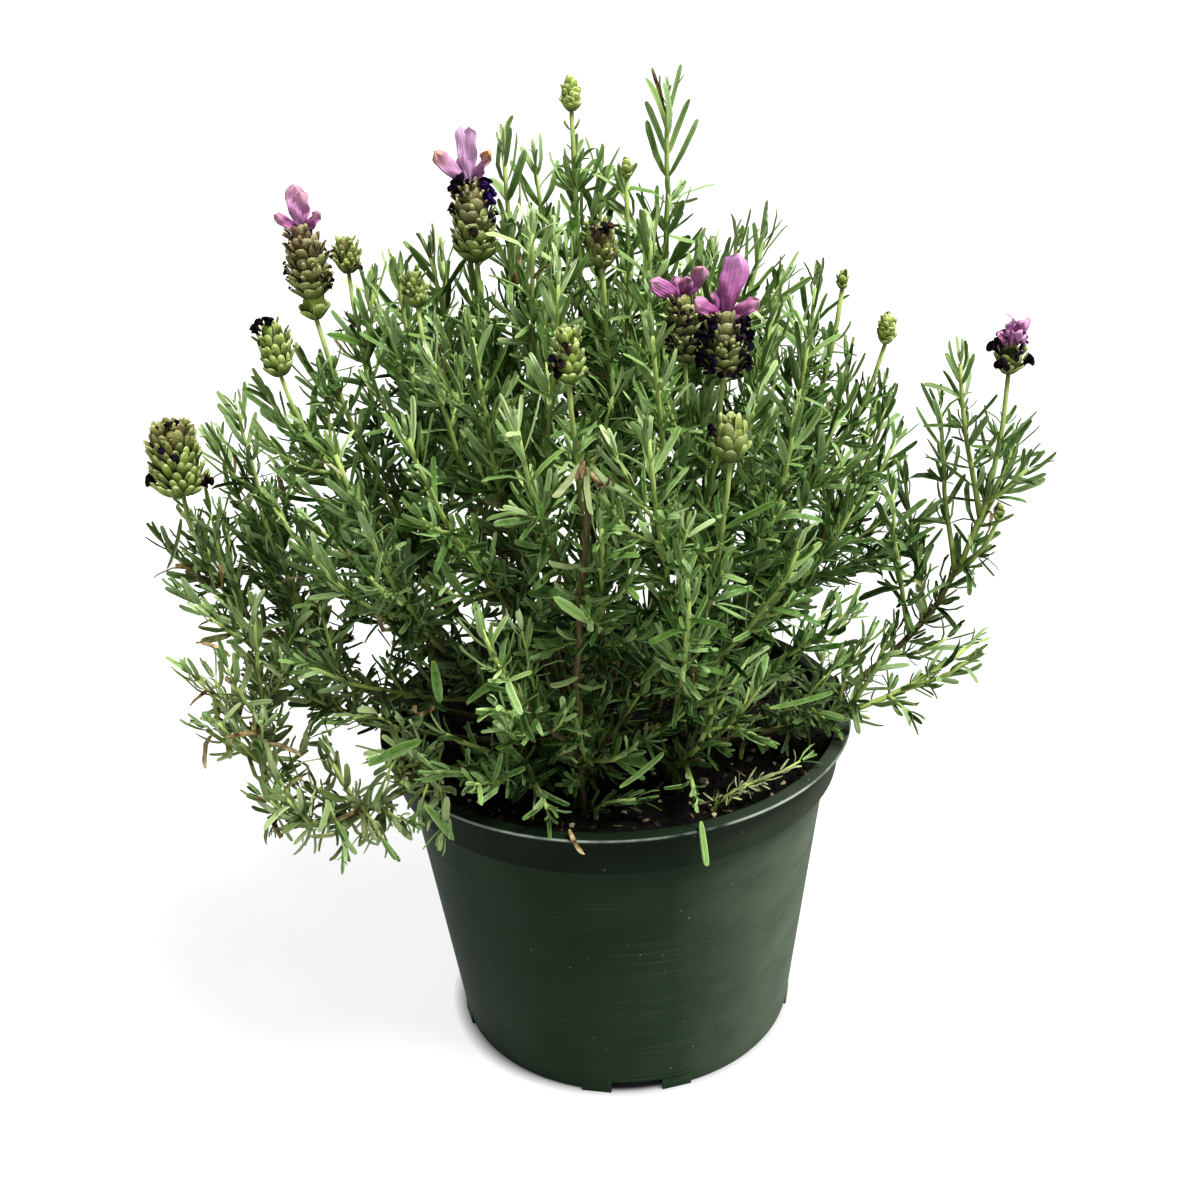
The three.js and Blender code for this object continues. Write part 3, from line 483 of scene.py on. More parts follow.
def makePot():
    body = turnedBody(potRings(), pot["sides"])
    editFaces(body, isOnRib)
    bpy.ops.mesh.extrude_region_shrink_fatten(TRANSFORM_OT_shrink_fatten={"value": pot["ribProud"] * mm})
    bpy.ops.object.mode_set(mode="OBJECT")
    aside = math.degrees(math.asin((pot["slotWidth"] + pot["blockWidth"]) / 2 / pot["footRadius"]))
    blockDepth = pot["wall"] + pot["blockProud"]
    blockReach = pot["footRadius"] - pot["wall"] + blockDepth / 2
    slotDepth = pot["slotReach"] + 4 * pot["blockProud"]
    slotMiddle = pot["footRadius"] - pot["slotReach"] + slotDepth / 2
    for i in range(pot["slots"]):
        turn = pot["slotTurn"] + i * 360 / pot["slots"]
        for blockTurn in (turn - aside, turn + aside):
            size = (blockDepth, pot["blockWidth"], pot["blockHeight"])
            cutOrAdd(body, footBox(size, blockReach, blockTurn, 0.25), "UNION")
        cutter = footBox((slotDepth, pot["slotWidth"], 2 * pot["slotHeight"]), slotMiddle, turn, 0.4)
        cutter.location.z = -pot["slotHeight"] * mm
        cutOrAdd(body, cutter, "DIFFERENCE")
    selectOnly(body)
    bpy.ops.object.shade_smooth_by_angle(angle=math.radians(40))
    body.data.materials.append(potSurface)
    finishPiece(body, "nursery_pot", "pot", "pot")


makePot()
print("pot made")


def addTint(obj, tint=(0.5, 0.5, 0)):
    layer = obj.data.attributes.new("tint", "FLOAT_COLOR", "POINT")
    layer.data.foreach_set("color", [*tint, 1] * len(obj.data.vertices))


def layCopy(shape, place, tint):
    copy = shape.copy()
    copy.data = shape.data.copy()
    copy.data.transform(place)
    copy.data.attributes["tint"].data.foreach_set("color", [*tint, 1] * len(copy.data.vertices))
    bpy.context.collection.objects.link(copy)
    return copy


# Turns a shape that was made along +Z with its face to +Y, sizes it and moves it to its foot
def placeAt(foot, forward, face, wide=1.0, long=1.0):
    face = (face - forward * face.dot(forward)).normalized()
    turn = Matrix((face.cross(forward), face, forward)).transposed().to_4x4()
    return Matrix.Translation(Vector(foot) * mm) @ turn @ Matrix.Diagonal((wide, wide, long, 1))


soil = {
    "sides": 260,
    "rings": 64,
    "radius": 76.1,
    "footHeight": 105.6,
    "edgeHeight": 111.0,
    "mound": 1.6,
    "lumpSize": 9.0,
    "lumpHeight": 1.5,
    "crumbSize": 2.2,
    "crumbHeight": 0.8,
    "clods": {"count": 1500, "sizes": (0.9, 3.0), "shades": (0, 1), "sunk": 0.1},
    "bark": {"count": 420, "sizes": (0.8, 2.8), "shades": (0.1, 1), "sunk": 0.12},
    "perlite": {"count": 90, "sizes": (0.9, 2.4), "shades": (0, 1), "sunk": 0.15},
    "seed": 11,
}


def soilTop(x, y):
    share = math.hypot(x, y) / pot["collarFootRadius"]
    return soil["edgeHeight"] + soil["mound"] * (1 - share * share)


def soilCrumbs(x, y):
    lump = noise.noise(Vector((x, y, 0)) / soil["lumpSize"]) * soil["lumpHeight"]
    return lump + noise.noise(Vector((x, y, 9)) / soil["crumbSize"]) * soil["crumbHeight"]


def soilBed():
    step = soil["radius"] / soil["rings"]
    rings = [(soil["radius"] - 0.3, soil["footHeight"])]
    rings += [(soil["radius"] - i * step, soil["edgeHeight"]) for i in range(soil["rings"])]
    bed = turnedBody(rings, soil["sides"])
    for vertex in bed.data.vertices:
        x, y, z = vertex.co / mm
        if z > soil["footHeight"] + 1:
            vertex.co.z = (soilTop(x, y) + soilCrumbs(x, y)) * mm
    addTint(bed)
    bed.data.materials.append(peatSurface)
    return bed


# One angular crumb, squashed and knocked out of true
def crumb(size, surface, seed):
    deselectAll()
    bpy.ops.mesh.primitive_ico_sphere_add(subdivisions=1, radius=0.5 * mm)
    bit = bpy.context.object
    bpy.ops.object.mode_set(mode="EDIT")
    bpy.ops.mesh.select_all(action="SELECT")
    bpy.ops.transform.vertex_random(offset=0.16 * mm, seed=seed)
    bpy.ops.transform.resize(value=size)
    bpy.ops.object.mode_set(mode="OBJECT")
    addTint(bit)
    bit.data.materials.append(surface)
    return bit


def scatterBits(draw, shapes, count, sizes, shades, sunk):
    bits = []
    for _ in range(count):
        turn = draw.uniform(0, 2 * math.pi)
        reach = (soil["radius"] - 1.5) * math.sqrt(draw.random())
        x, y = reach * math.cos(turn), reach * math.sin(turn)
        size = draw.uniform(*sizes)
        foot = Vector((x, y, soilTop(x, y) + soilCrumbs(x, y) + size * sunk))
        lie = Vector((draw.uniform(-1, 1), draw.uniform(-1, 1), draw.uniform(-0.3, 0.3))).normalized()
        face = Vector((draw.uniform(-0.5, 0.5), draw.uniform(-0.5, 0.5), 1))
        place = placeAt(foot, lie, face, size, size)
        bits.append(layCopy(draw.choice(shapes), place, (draw.uniform(*shades), draw.random(), 0)))
    return bits


def makeSoil():
    draw = random.Random(soil["seed"])
    clods = [crumb((1, 0.7, 1.1), peatSurface, seed) for seed in (1, 2, 3)]
    barks = [crumb((0.9, 0.35, 1.9), chipSurface, 4), crumb((0.5, 0.3, 2.6), chipSurface, 5),
             crumb((1.1, 0.4, 1.3), chipSurface, 6)]
    perlites = [crumb((1, 0.8, 1.1), perliteSurface, seed) for seed in (7, 8)]
    bed = soilBed()
    bits = scatterBits(draw, clods, **soil["clods"])
    bits += scatterBits(draw, barks, **soil["bark"])
    bits += scatterBits(draw, perlites, **soil["perlite"])
    joinAll(bed, bits)
    for shape in (*clods, *barks, *perlites):
        bpy.data.objects.remove(shape)
    finishPiece(bed, "potting_mix", "soil", "soil")


makeSoil()
print("soil made")


# Blades in millimetres. Each station is a share of the length and of the width, and the section lists the
# points round it from the middle of the upper face: a sunken midrib, full shoulders, rolled-down margins.
blades = {
    "narrow": {
        "length": 15, "width": 2.05, "foot": 0.42,
        "stations": ((0.12, 0.8), (0.4, 1), (0.82, 0.98), (0.96, 0.68)),
        "section": ((0, -0.02), (-0.3, 0.13), (-0.5, -0.04), (0, -0.15), (0.5, -0.04), (0.3, 0.13)),
    },
    "young": {
        "length": 9.5, "width": 1.6, "foot": 0.45,
        "stations": ((0.3, 0.95), (0.7, 1), (0.94, 0.76)),
        "section": ((0, -0.08), (-0.5, 0.1), (0, -0.22), (0.5, 0.1)),
    },
    "broad": {
        "length": 19, "width": 3.6, "foot": 0.32,
        "stations": ((0.12, 0.6), (0.38, 0.95), (0.7, 1), (0.91, 0.6)),
        "section": ((0, -0.03), (-0.3, 0.07), (-0.5, 0), (0, -0.1), (0.5, 0), (0.3, 0.07)),
    },
}


def makeBlade(kind, bend, twist, surface):
    length = kind["length"] * mm
    width = kind["width"] * mm
    section = kind["section"]
    deselectAll()
    bpy.ops.mesh.primitive_circle_add(vertices=len(section), radius=kind["foot"], fill_type="NGON")
    blade = bpy.context.object
    bpy.ops.object.mode_set(mode="EDIT")
    bpy.ops.mesh.select_all(action="SELECT")
    share, wide = 0, kind["foot"]
    for nextShare, nextWide in kind["stations"]:
        rise = (nextShare - share) * length
        bpy.ops.mesh.extrude_region_move(TRANSFORM_OT_translate={"value": (0, 0, rise)})
        bpy.ops.transform.resize(value=(nextWide / wide, nextWide / wide, 1), center_override=(0, 0, 0),
                                 constraint_axis=(True, True, False))
        share, wide = nextShare, nextWide
    bpy.ops.mesh.extrude_region_move(TRANSFORM_OT_translate={"value": (0, 0, (1 - share) * length)})
    bpy.ops.mesh.merge(type="CENTER")
    bpy.ops.object.mode_set(mode="OBJECT")
    # The rings are round so far, at their share of the width: each point goes to its place in the section
    vertices = blade.data.vertices
    places = []
    for vertex in vertices:
        x, y, z = vertex.co
        index = round(math.atan2(-x, y) / (2 * math.pi) * len(section)) % len(section)
        wide = math.hypot(x, y)
        places.append((section[index][0] if wide > 0.01 else 0, z / length))
        vertex.co = (section[index][0] * wide * width, section[index][1] * wide * width, z)
    blade.data.update()
    shares = blade.data.uv_layers.active.data
    for face in blade.data.polygons:
        isUnder = face.normal.y < 0
        for loop in face.loop_indices:
            across, along = places[blade.data.loops[loop].vertex_index]
            shares[loop].uv = (1.5 - across if isUnder else 0.5 + across, along)
    bendBlade(vertices, length, math.radians(bend), math.radians(twist))
    selectOnly(blade)
    bpy.ops.object.shade_smooth_by_angle(angle=math.radians(60))
    blade.data.materials.append(surface)
    addTint(blade)
    return blade


# Bows a straight blade away from its upper face and twists it, more and more towards its tip
def bendBlade(vertices, length, bend, twist):
    for vertex in vertices:
        x, y, z = vertex.co
        share = z / length
        turn = twist * share
        x, y = x * math.cos(turn) - y * math.sin(turn), x * math.sin(turn) + y * math.cos(turn)
        bow = bend * share
        reach = z if abs(bend) < 0.01 else length * math.sin(bow) / bend
        drop = 0 if abs(bend) < 0.01 else length * (1 - math.cos(bow)) / bend
        vertex.co = (x, y * math.cos(bow) - drop, reach + y * math.sin(bow))


# A few young leaves on one foot, as they stand in a leaf axil or close round a growing tip
def makeTuft(draw, count, leans, sizes):
    leaves = []
    turn = draw.uniform(0, 360)
    for i in range(count):
        share = i / (count - 1)
        lean = math.radians(leans[0] + (leans[1] - leans[0]) * share + draw.uniform(-5, 5))
        turn += 180 if i % 2 else 90
        side = math.radians(turn + draw.uniform(-14, 14))
        out = Vector((math.cos(side), math.sin(side), 0))
        forward = out * math.sin(lean) + up * math.cos(lean)
        size = (sizes[0] + (sizes[1] - sizes[0]) * share) * draw.uniform(0.9, 1.1)
        foot = out * 0.4 + up * (1 - share) * 2
        shape = draw.choice(youngLeaves)
        place = placeAt(foot, forward, up - out * 0.2, min(1, size + 0.15), size)
        leaves.append(layCopy(shape, place, (0, 0, 0)))
    return joinAll(leaves[0], leaves[1:])


# How far each shape of leaf bows and twists, in degrees
bows = {
    "narrow": ((-75, 8), (-55, -20), (-40, 24), (-28, -8), (-14, 16), (6, -26), (34, 10), (-48, -36),
               (62, -14)),
    "young": ((-50, 6), (-28, -12), (-8, 10), (24, -8)),
    "broad": ((18, 10), (40, -14), (64, 6)),
    "dry": ((120, 50), (-150, 70), (200, -80)),
    "scale": ((-10, 8), (12, -12), (30, 4)),
}
mostBowed = (0, 1, 2, 7, 8)
# Each tuft: how many leaves, their lean from the inner to the outer one, and their sizes
tuftKinds = {
    "seed": 3,
    "shapes": 6,
    "axil": (5, (14, 72), (0.5, 1.0)),
    "tip": (4, (4, 28), (0.75, 1.4)),
}

narrowLeaves = [makeBlade(blades["narrow"], bend, twist, leafSurface) for bend, twist in bows["narrow"]]
curledLeaves = [narrowLeaves[i] for i in mostBowed]
youngLeaves = [makeBlade(blades["young"], bend, twist, leafSurface) for bend, twist in bows["young"]]
broadLeaves = [makeBlade(blades["broad"], bend, twist, leafSurface) for bend, twist in bows["broad"]]
dryLeaves = [makeBlade(blades["narrow"], bend, twist, leafSurface) for bend, twist in bows["dry"]]
shapeDraw = random.Random(tuftKinds["seed"])
axilTufts = [makeTuft(shapeDraw, *tuftKinds["axil"]) for _ in range(tuftKinds["shapes"])]
tipTufts = [makeTuft(shapeDraw, *tuftKinds["tip"]) for _ in range(tuftKinds["shapes"])]
print("leaf shapes made")


def arm(start, tip, head=None, through=None):
    return {"start": start, "tip": tip, "head": head, "through": through}


def leader(tip, head=None, through=None):
    return arm(0, tip, head, through)


def plantStem(name, root, bare, *arms):
    return {"name": name, "root": root, "bare": bare, "arms": arms}


# Every stem, in millimetres: where it leaves the soil, the share of its leader that stays bare, and its
# arms by where they leave the leader and where they end
stems = [
    plantStem("centre_back", (-4, 15), 0.45, leader((-5, 10, 321), head="bud"), arm(0.5, (4, 36, 308)),
              arm(0.42, (-18, 31, 312)), arm(0.35, (22, 44, 290))),
    plantStem("tall_right", (11, 11), 0.45, leader((25, 15, 331)), arm(0.5, (46, -4, 289)),
              arm(0.42, (57, 21, 286)), arm(0.3, (40, 40, 272))),
    plantStem("centre_left", (-14, 4), 0.4, leader((-36, -10, 281), head="open"),
              arm(0.45, (-26, 1, 320)), arm(0.4, (-18, -28, 302)), arm(0.32, (-52, 2, 290))),
    plantStem("centre_front", (2, 1), 0.35, leader((11, 4, 301), head="tiny"),
              arm(0.4, (2, -34, 283), head="green"), arm(0.5, (17, -27, 298))),
    plantStem("front_left_high", (-13, -15), 0.3, leader((-37, -50, 278)), arm(0.45, (-10, -59, 294)),
              arm(0.35, (-53, -31, 273), head="green"), arm(0.3, (-56, -74, 256))),
    plantStem("front_mid", (-1, -18), 0.3, leader((-9, -71, 260), head="green"),
              arm(0.4, (-24, -90, 262)), arm(0.3, (-2, -100, 236))),
    plantStem("front_right", (9, -12), 0.3, leader((35, -55, 255), head="short"),
              arm(0.5, (25, -39, 255), head="slim"), arm(0.45, (14, -70, 281)),
              arm(0.35, (52, -36, 276))),
    plantStem("front_right_low", (12, -26), 0.3, leader((34, -85, 240), head="green"),
              arm(0.4, (11, -95, 260)), arm(0.35, (55, -86, 221)), arm(0.25, (21, -104, 215))),
    plantStem("right_front", (21, -12), 0.3, leader((56, -60, 253)), arm(0.4, (74, -33, 250)),
              arm(0.3, (77, -51, 221)), arm(0.2, (74, -66, 190))),
    plantStem("right_high", (22, 2), 0.35, leader((79, 10, 262), head="tiny"), arm(0.6, (72, 18, 271)),
              arm(0.45, (93, 8, 244), head="bud"), arm(0.35, (66, -12, 262))),
    plantStem("right_back", (20, 17), 0.35, leader((106, 34, 211)), arm(0.45, (101, 46, 226)),
              arm(0.3, (64, 52, 262)), arm(0.5, (97, 16, 228))),
    plantStem("right_branch", (32, -6), 0.4,
              leader((133, 5, 233), head="dark", through=((72, -12, 116), (130, -3, 138))),
              arm(0.72, (114, -5, 250)), arm(0.6, (114, 20, 227)), arm(0.75, (143, -6, 212)),
              arm(0.68, (142, 16, 214)), arm(0.6, (127, -16, 190), head="tiny"),
              arm(0.45, (91, -20, 212)), arm(0.5, (105, 31, 200))),
    plantStem("right_low", (30, -20), 0.4,
              leader((128, -12, 151), through=((62, -26, 124), (100, -28, 128))),
              arm(0.65, (119, -40, 158)), arm(0.6, (101, -42, 129)), arm(0.45, (88, -44, 170))),
    plantStem("left_high", (-24, -3), 0.4, leader((-85, -20, 268), head="tall"),
              arm(0.55, (-78, 9, 275), head="green"), arm(0.45, (-96, -30, 254), head="green"),
              arm(0.4, (-60, -8, 285)), arm(0.5, (-108, -8, 250))),
    plantStem("left_back", (-19, 17), 0.5, leader((-69, 50, 274)), arm(0.5, (-50, 31, 282)),
              arm(0.45, (-75, 27, 274))),
    plantStem("left_branch", (-35, 3), 0.4,
              leader((-139, 0, 207), head="spent", through=((-80, 2, 120), (-140, 0, 150))),
              arm(0.7, (-154, 7, 196)), arm(0.6, (-146, -12, 185)), arm(0.5, (-133, 34, 222)),
              arm(0.45, (-122, 18, 238)), arm(0.4, (-112, -14, 214))),
    plantStem("left_mid", (-28, -15), 0.3, leader((-80, -55, 246)), arm(0.4, (-92, -56, 214)),
              arm(0.35, (-70, -80, 238)), arm(0.3, (-104, -42, 226)), arm(0.2, (-98, -66, 180))),
    plantStem("left_trailing", (-34, -27), 0.35,
              leader((-120, -28, 134), through=((-58, -62, 152), (-110, -84, 84))),
              arm(0.95, (-136, -18, 157)), arm(0.9, (-143, -26, 140)), arm(0.85, (-114, -30, 186)),
              arm(0.75, (-113, -58, 108)), arm(0.55, (-86, -82, 110)), arm(0.5, (-92, -62, 150)),
              arm(0.35, (-70, -72, 140))),
    plantStem("left_low", (-40, -11), 0.35,
              leader((-126, -14, 178), through=((-76, -20, 124), (-120, -18, 134))),
              arm(0.5, (-104, -36, 158)), arm(0.45, (-98, -12, 182))),
    plantStem("back_left", (-13, 29), 0.5, leader((-42, 84, 256)), arm(0.4, (-14, 76, 282)),
              arm(0.35, (-78, 78, 232))),
    plantStem("back_mid", (2, 31), 0.4, leader((12, 92, 266)), arm(0.4, (38, 76, 270)),
              arm(0.3, (-8, 108, 226))),
    plantStem("back_right", (17, 31), 0.4, leader((62, 82, 240)), arm(0.35, (90, 68, 216)),
              arm(0.3, (44, 106, 204))),
    plantStem("back_low_left", (-27, 25), 0.45, leader((-104, 62, 204)), arm(0.4, (-76, 100, 184)),
              arm(0.5, (-126, 40, 186))),
    plantStem("back_low_right", (31, 25), 0.4, leader((104, 74, 182)), arm(0.4, (70, 104, 172)),
              arm(0.45, (122, 42, 176))),
    plantStem("front_low_left", (-24, -34), 0.25, leader((-35, -72, 155)), arm(0.5, (-60, -60, 152)),
              arm(0.4, (-20, -86, 126))),
    plantStem("front_low_mid", (-8, -36), 0.25, leader((-12, -72, 158)), arm(0.4, (6, -78, 150)),
              arm(0.5, (-38, -100, 208))),
    plantStem("front_low_right", (16, -36), 0.25, leader((29, -66, 152)), arm(0.4, (48, -64, 168)),
              arm(0.35, (24, -80, 126))),
    plantStem("lying_shoot", (-8, -58), 0.2,
              leader((15, -65, 122), through=((-7, -63, 121), (4, -65, 121)))),
    plantStem("rim_sprig", (30, -58), 0.15,
              leader((66, -42, 124), through=((34, -62, 124), (52, -58, 121)))),
]

# Length and width of the flower heads in millimetres, and how tall their top bracts stand
headSizes = {
    "open": (25, 15, 17),
    "slim": (20, 11.5, 12),
    "tall": (29, 14, 13),
    "short": (19, 15, 16.5),
    "dark": (10.5, 11, 9.5),
    "spent": (26, 18, 0),
    "green": (16.5, 13, 0),
    "bud": (10.5, 7, 0),
    "tiny": (6.5, 4.6, 0),
}

# The rule by which the arms bow apart, the same as in the solids
path = {
    "depth": 12,
    "collar": 1.5,
    "gap": 0.3,
    "bows": (0, 5, -5, 10, -10, 15, -15, 20, -20),
    "bends": ((0.45, 0.3), (0.86, 0.62)),
    "leaderSteps": 4,
    "armSteps": 3,
    "leaderRadius": (1.9, 1.1),
    "armRadius": (1.1, 1.0),
    "tipLeaf": 17,
    "tipLeafMost": 0.6,
    "tipLeafFoot": 0.55,
    "headUprightness": 0.8,
    "bractSpread": 0.45,
    "curveSteps": 200,
    "clearSteps": 24,
}


def lengthsOf(points):
    return np.concatenate(([0], np.cumsum([(b - a).length for a, b in zip(points, points[1:])])))


# The point at a distance along a path, and the way the path runs there
def pointAt(points, lengths, distance):
    i = min(max(int(np.searchsorted(lengths, distance)) - 1, 0), len(points) - 2)
    span = lengths[i + 1] - lengths[i]
    along = points[i + 1] - points[i]
    return points[i] + along * float((distance - lengths[i]) / span), along.normalized()


def curveOf(start, tip, through, bow):
    flat = Vector((tip.x - start.x, tip.y - start.y, 0))
    side = Vector((-flat.y, flat.x, 0)).normalized() * bow
    bends = [Vector(point) for point in through or ()]
    bends = bends or [start + flat * out + up * (tip.z - start.z) * rise for out, rise in path["bends"]]
    a, b = [bend + side for bend in bends]
    curve = []
    for i in range(path["curveSteps"] + 1):
        t = i / path["curveSteps"]
        s = 1 - t
        curve.append(start * s ** 3 + a * (3 * s * s * t) + b * (3 * s * t * t) + tip * t ** 3)
    return curve


rods = {"from": [], "to": [], "radius": [], "owner": []}


def addRods(owner, points, radius):
    for a, b in zip(points, points[1:]):
        rods["from"].append(a)
        rods["to"].append(b)
        rods["radius"].append(radius)
        rods["owner"].append(owner)


def isClear(points, radius, owner):
    kept = [i for i, other in enumerate(rods["owner"]) if other != owner]
    if not kept:
        return True
    start = np.array([rods["from"][i] for i in kept])
    line = np.array([rods["to"][i] for i in kept]) - start
    reach = np.array([rods["radius"][i] for i in kept]) + radius
    for point in np.array(points):
        share = np.clip(((point - start) * line).sum(1) / (line * line).sum(1), 0, 1)
        if (np.linalg.norm(start + line * share[:, None] - point, axis=1) <= reach).any():
            return False
    return True


def ringShares(length, steps, hasLeaf):
    if not hasLeaf:
        return [i / steps for i in range(steps + 1)]
    leafShare = min(path["tipLeaf"] / length, path["tipLeafMost"])
    return [i * (1 - leafShare) / (steps - 1) for i in range(steps)] + [1 - leafShare * path["tipLeafFoot"]]


def placeHead(stem, part, rings, index):
    length, width, bracts = headSizes[part["head"]]
    along = (rings[-1] - rings[-2]).normalized().lerp(up, path["headUprightness"]).normalized()
    base = rings[-1] + along * path["gap"]
    top = base + along * length
    name = f"{stem['name']}_head_{index + 1}"
    addRods(name, [base + along * width / 4, top - along * width / 2], width / 2)
    if bracts:
        addRods(name, [top, top + along * bracts], bracts * path["bractSpread"])
    return {"name": name, "kind": part["head"], "base": base, "along": along, "length": length,
            "width": width, "bracts": f"{stem['name']}_bracts_{index + 1}" if bracts else None}


# Lays out a stem: each arm as a smooth curve, and the heads on its ends
def layOut(stem):
    x, y = stem["root"]
    collar = Vector((x, y, soilTop(x, y) + path["collar"]))
    trunk = None
    for index, part in enumerate(stem["arms"]):
        which = "arm" if index else "leader"
        steps, radius = path[which + "Steps"], path[which + "Radius"]
        start = pointAt(trunk, trunkLengths, part["start"] * trunkLengths[-1])[0] if index else collar
        tip = Vector(part["tip"])
        for bow in path["bows"]:
            curve = curveOf(start, tip, part["through"], bow)
            lengths = lengthsOf(curve)
            spaced = [pointAt(curve, lengths, lengths[-1] * i / path["clearSteps"])[0]
                      for i in range(path["clearSteps"] + 1)]
            if isClear(spaced, radius[0] + path["gap"], stem["name"]):
                break
        shares = ringShares(lengths[-1], steps, not part["head"])
        rings = [pointAt(curve, lengths, share * lengths[-1])[0] for share in shares]
        if not index:
            trunk, trunkLengths = rings, lengthsOf(rings)
            smooth, smoothLengths = curve, lengths
            part["curve"] = curve
        else:
            # Drawn from the smooth leader, so that it leaves the wood and not the chord beside it
            start = pointAt(smooth, smoothLengths, part["start"] * smoothLengths[-1])[0]
            part["curve"] = curveOf(start, tip, part["through"], bow)
        buried = [] if index else [Vector((x, y, collar.z - path["collar"] - path["depth"]))]
        addRods(stem["name"], buried + rings + ([] if part["head"] else [tip]), sum(radius) / 2)
        if part["head"]:
            part["headPlace"] = placeHead(stem, part, rings, index)


for stem in stems:
    layOut(stem)
heads = [part["headPlace"] for stem in stems for part in stem["arms"] if part["head"]]
print("stems laid out,", len(heads), "heads")


# How a shoot grows, in millimetres and degrees. Spacing, lean, leaf length and tuft size run from the tip
# down to the fully grown part. The height pairs run from low on the plant to high. Wood radii are at the
# root and tip of a leader, an arm and a twig.
shoot = {
    "woodEnd": 10,
    "woodRadii": ((1.65, 0.76), (1.05, 0.68), (0.72, 0.46)),
    "spacing": (4.1, 7.4),
    "spacingReach": 30,
    "lean": (22, 66),
    "leanReach": 36,
    "leafLength": (10.5, 14.5),
    "leafSpread": (0.8, 1.13),
    "heightGain": (0.76, 1.15),
    "heightWidth": (1.2, 0.95),
    "heightFrom": 130,
    "heightSpan": 120,
    "leafReach": 14,
    "fullWithin": 14,
    "thinning": 0.35,
    "firstPair": 2.5,
    "twigSize": 0.88,
    "tipTuftLength": 13,
    "scatter": 13,
    "belowHead": 17,
    "headLeafLength": 8,
    "tuftFrom": 15,
    "tuftChance": 0.85,
    "tuftSize": (0.5, 1.15),
    "tuftReach": 45,
    "tuftLength": 11,
    "tuftLean": 0.55,
    "sideFrom": 28,
    "sideChance": 0.4,
    "sideLength": (16, 42),
    "sideLean": 46,
    "leanScatter": 12,
    "armBare": 0.16,
    "rootDepth": 6,
    "seed": 71,
}

# Stems that grow in another way than the rest. Leaves: "size" and "wide" scale them, "lean" turns them,
# "fresh" and "grey" shift their look, and "dry", "broad" and "curled" are chances. Shoots: "basal" low ones
# of "lowLength" that leave at "rise" and stand "upright", with shares of "sides" and "tufts". Wood: its
# "wood" thickness, how far from the tip it is "bark", and how "bare" the leader is.
plainHabit = {"size": 1, "lean": 0, "fresh": 0, "grey": 0, "dry": 0.012, "broad": 0.02, "curled": 0,
              "basal": 2, "lowLength": (28, 52), "rise": (0.08, 0.5), "upright": 0, "sides": 1, "tufts": 1,
              "wood": 1, "bark": 105}
habits = {
    "tall_right": {"size": 1.3, "wide": 0.9, "basal": 1, "sides": 0.6, "lean": -8},
    "centre_back": {"size": 1.12},
    "centre_left": {"size": 1.1},
    "left_trailing": {"bark": 60, "dry": 0.1, "fresh": 0.28, "grey": 0.46, "basal": 12, "rise": (0.3, 1.0),
                      "broad": 0.06, "upright": 1.0, "lowLength": (18, 36), "lean": 18, "wide": 1.15,
                      "tufts": 0.9, "curled": 0.7},
    "left_low": {"bark": 60, "dry": 0.1, "fresh": 0.1, "grey": 0.26, "basal": 7, "rise": (0.2, 0.9),
                 "upright": 0.8, "lowLength": (18, 36), "lean": 14, "wide": 1.1, "curled": 0.5},
    "left_mid": {"dry": 0.05, "fresh": -0.1, "grey": 0.12, "basal": 6, "upright": 0.6, "curled": 0.3},
    "left_back": {"fresh": -0.08},
    "back_left": {"fresh": -0.08},
    "left_branch": {"dry": 0.12, "fresh": -0.08, "grey": 0.16, "curled": 0.4, "basal": 4,
                    "rise": (0.2, 0.7), "upright": 0.8},
    "left_high": {"fresh": -0.08, "basal": 4, "upright": 0.6},
    "back_low_left": {"dry": 0.12},
    "front_low_left": {"bark": 50, "broad": 0.3, "fresh": 0.2, "basal": 6, "curled": 0.25},
    "front_low_mid": {"bark": 50, "broad": 0.3, "fresh": 0.2, "basal": 5, "curled": 0.25},
    "front_low_right": {"bark": 50, "broad": 0.3, "fresh": 0.12, "basal": 0, "curled": 0.25},
    "front_left_high": {"basal": 5},
    "front_mid": {"bark": 62, "basal": 6},
    "front_right": {"basal": 3},
    "front_right_low": {"basal": 1},
    "right_front": {"basal": 1},
    "right_high": {"fresh": -0.06, "basal": 1, "sides": 0.6},
    "right_back": {"fresh": -0.08, "basal": 1, "sides": 0.5},
    "right_branch": {"size": 1.05, "fresh": -0.06, "basal": 0, "sides": 0.5, "grey": 0.12},
    "right_low": {"broad": 0.12, "fresh": 0.14, "basal": 1, "sides": 0.5, "bare": 0.1, "grey": 0.2},
    "lying_shoot": {"broad": 0.1, "fresh": 0.16, "size": 0.75, "basal": 0, "wood": 0.7},
    "rim_sprig": {"fresh": 0.3, "grey": 0.55, "size": 0.6, "basal": 0, "dry": 0.15, "wood": 0.5},
}
shadedStems = ("centre_back", "front_right_low", "right_back", "right_low", "left_back", "left_low",
               "back_left", "back_mid", "back_right", "back_low_left", "back_low_right",
               "front_low_left", "front_low_mid", "front_low_right")


# How far a leaf keeps from what it would cut, in millimetres. A head's girth is a share of its width, more
# at its middle, and the heads are only looked at within a box round them all.
keepClear = {"wall": 0.8, "soil": 1.2, "rim": 1.2, "lip": 1.0, "ground": 2, "girth": (0.28, 0.2), "box": 12}


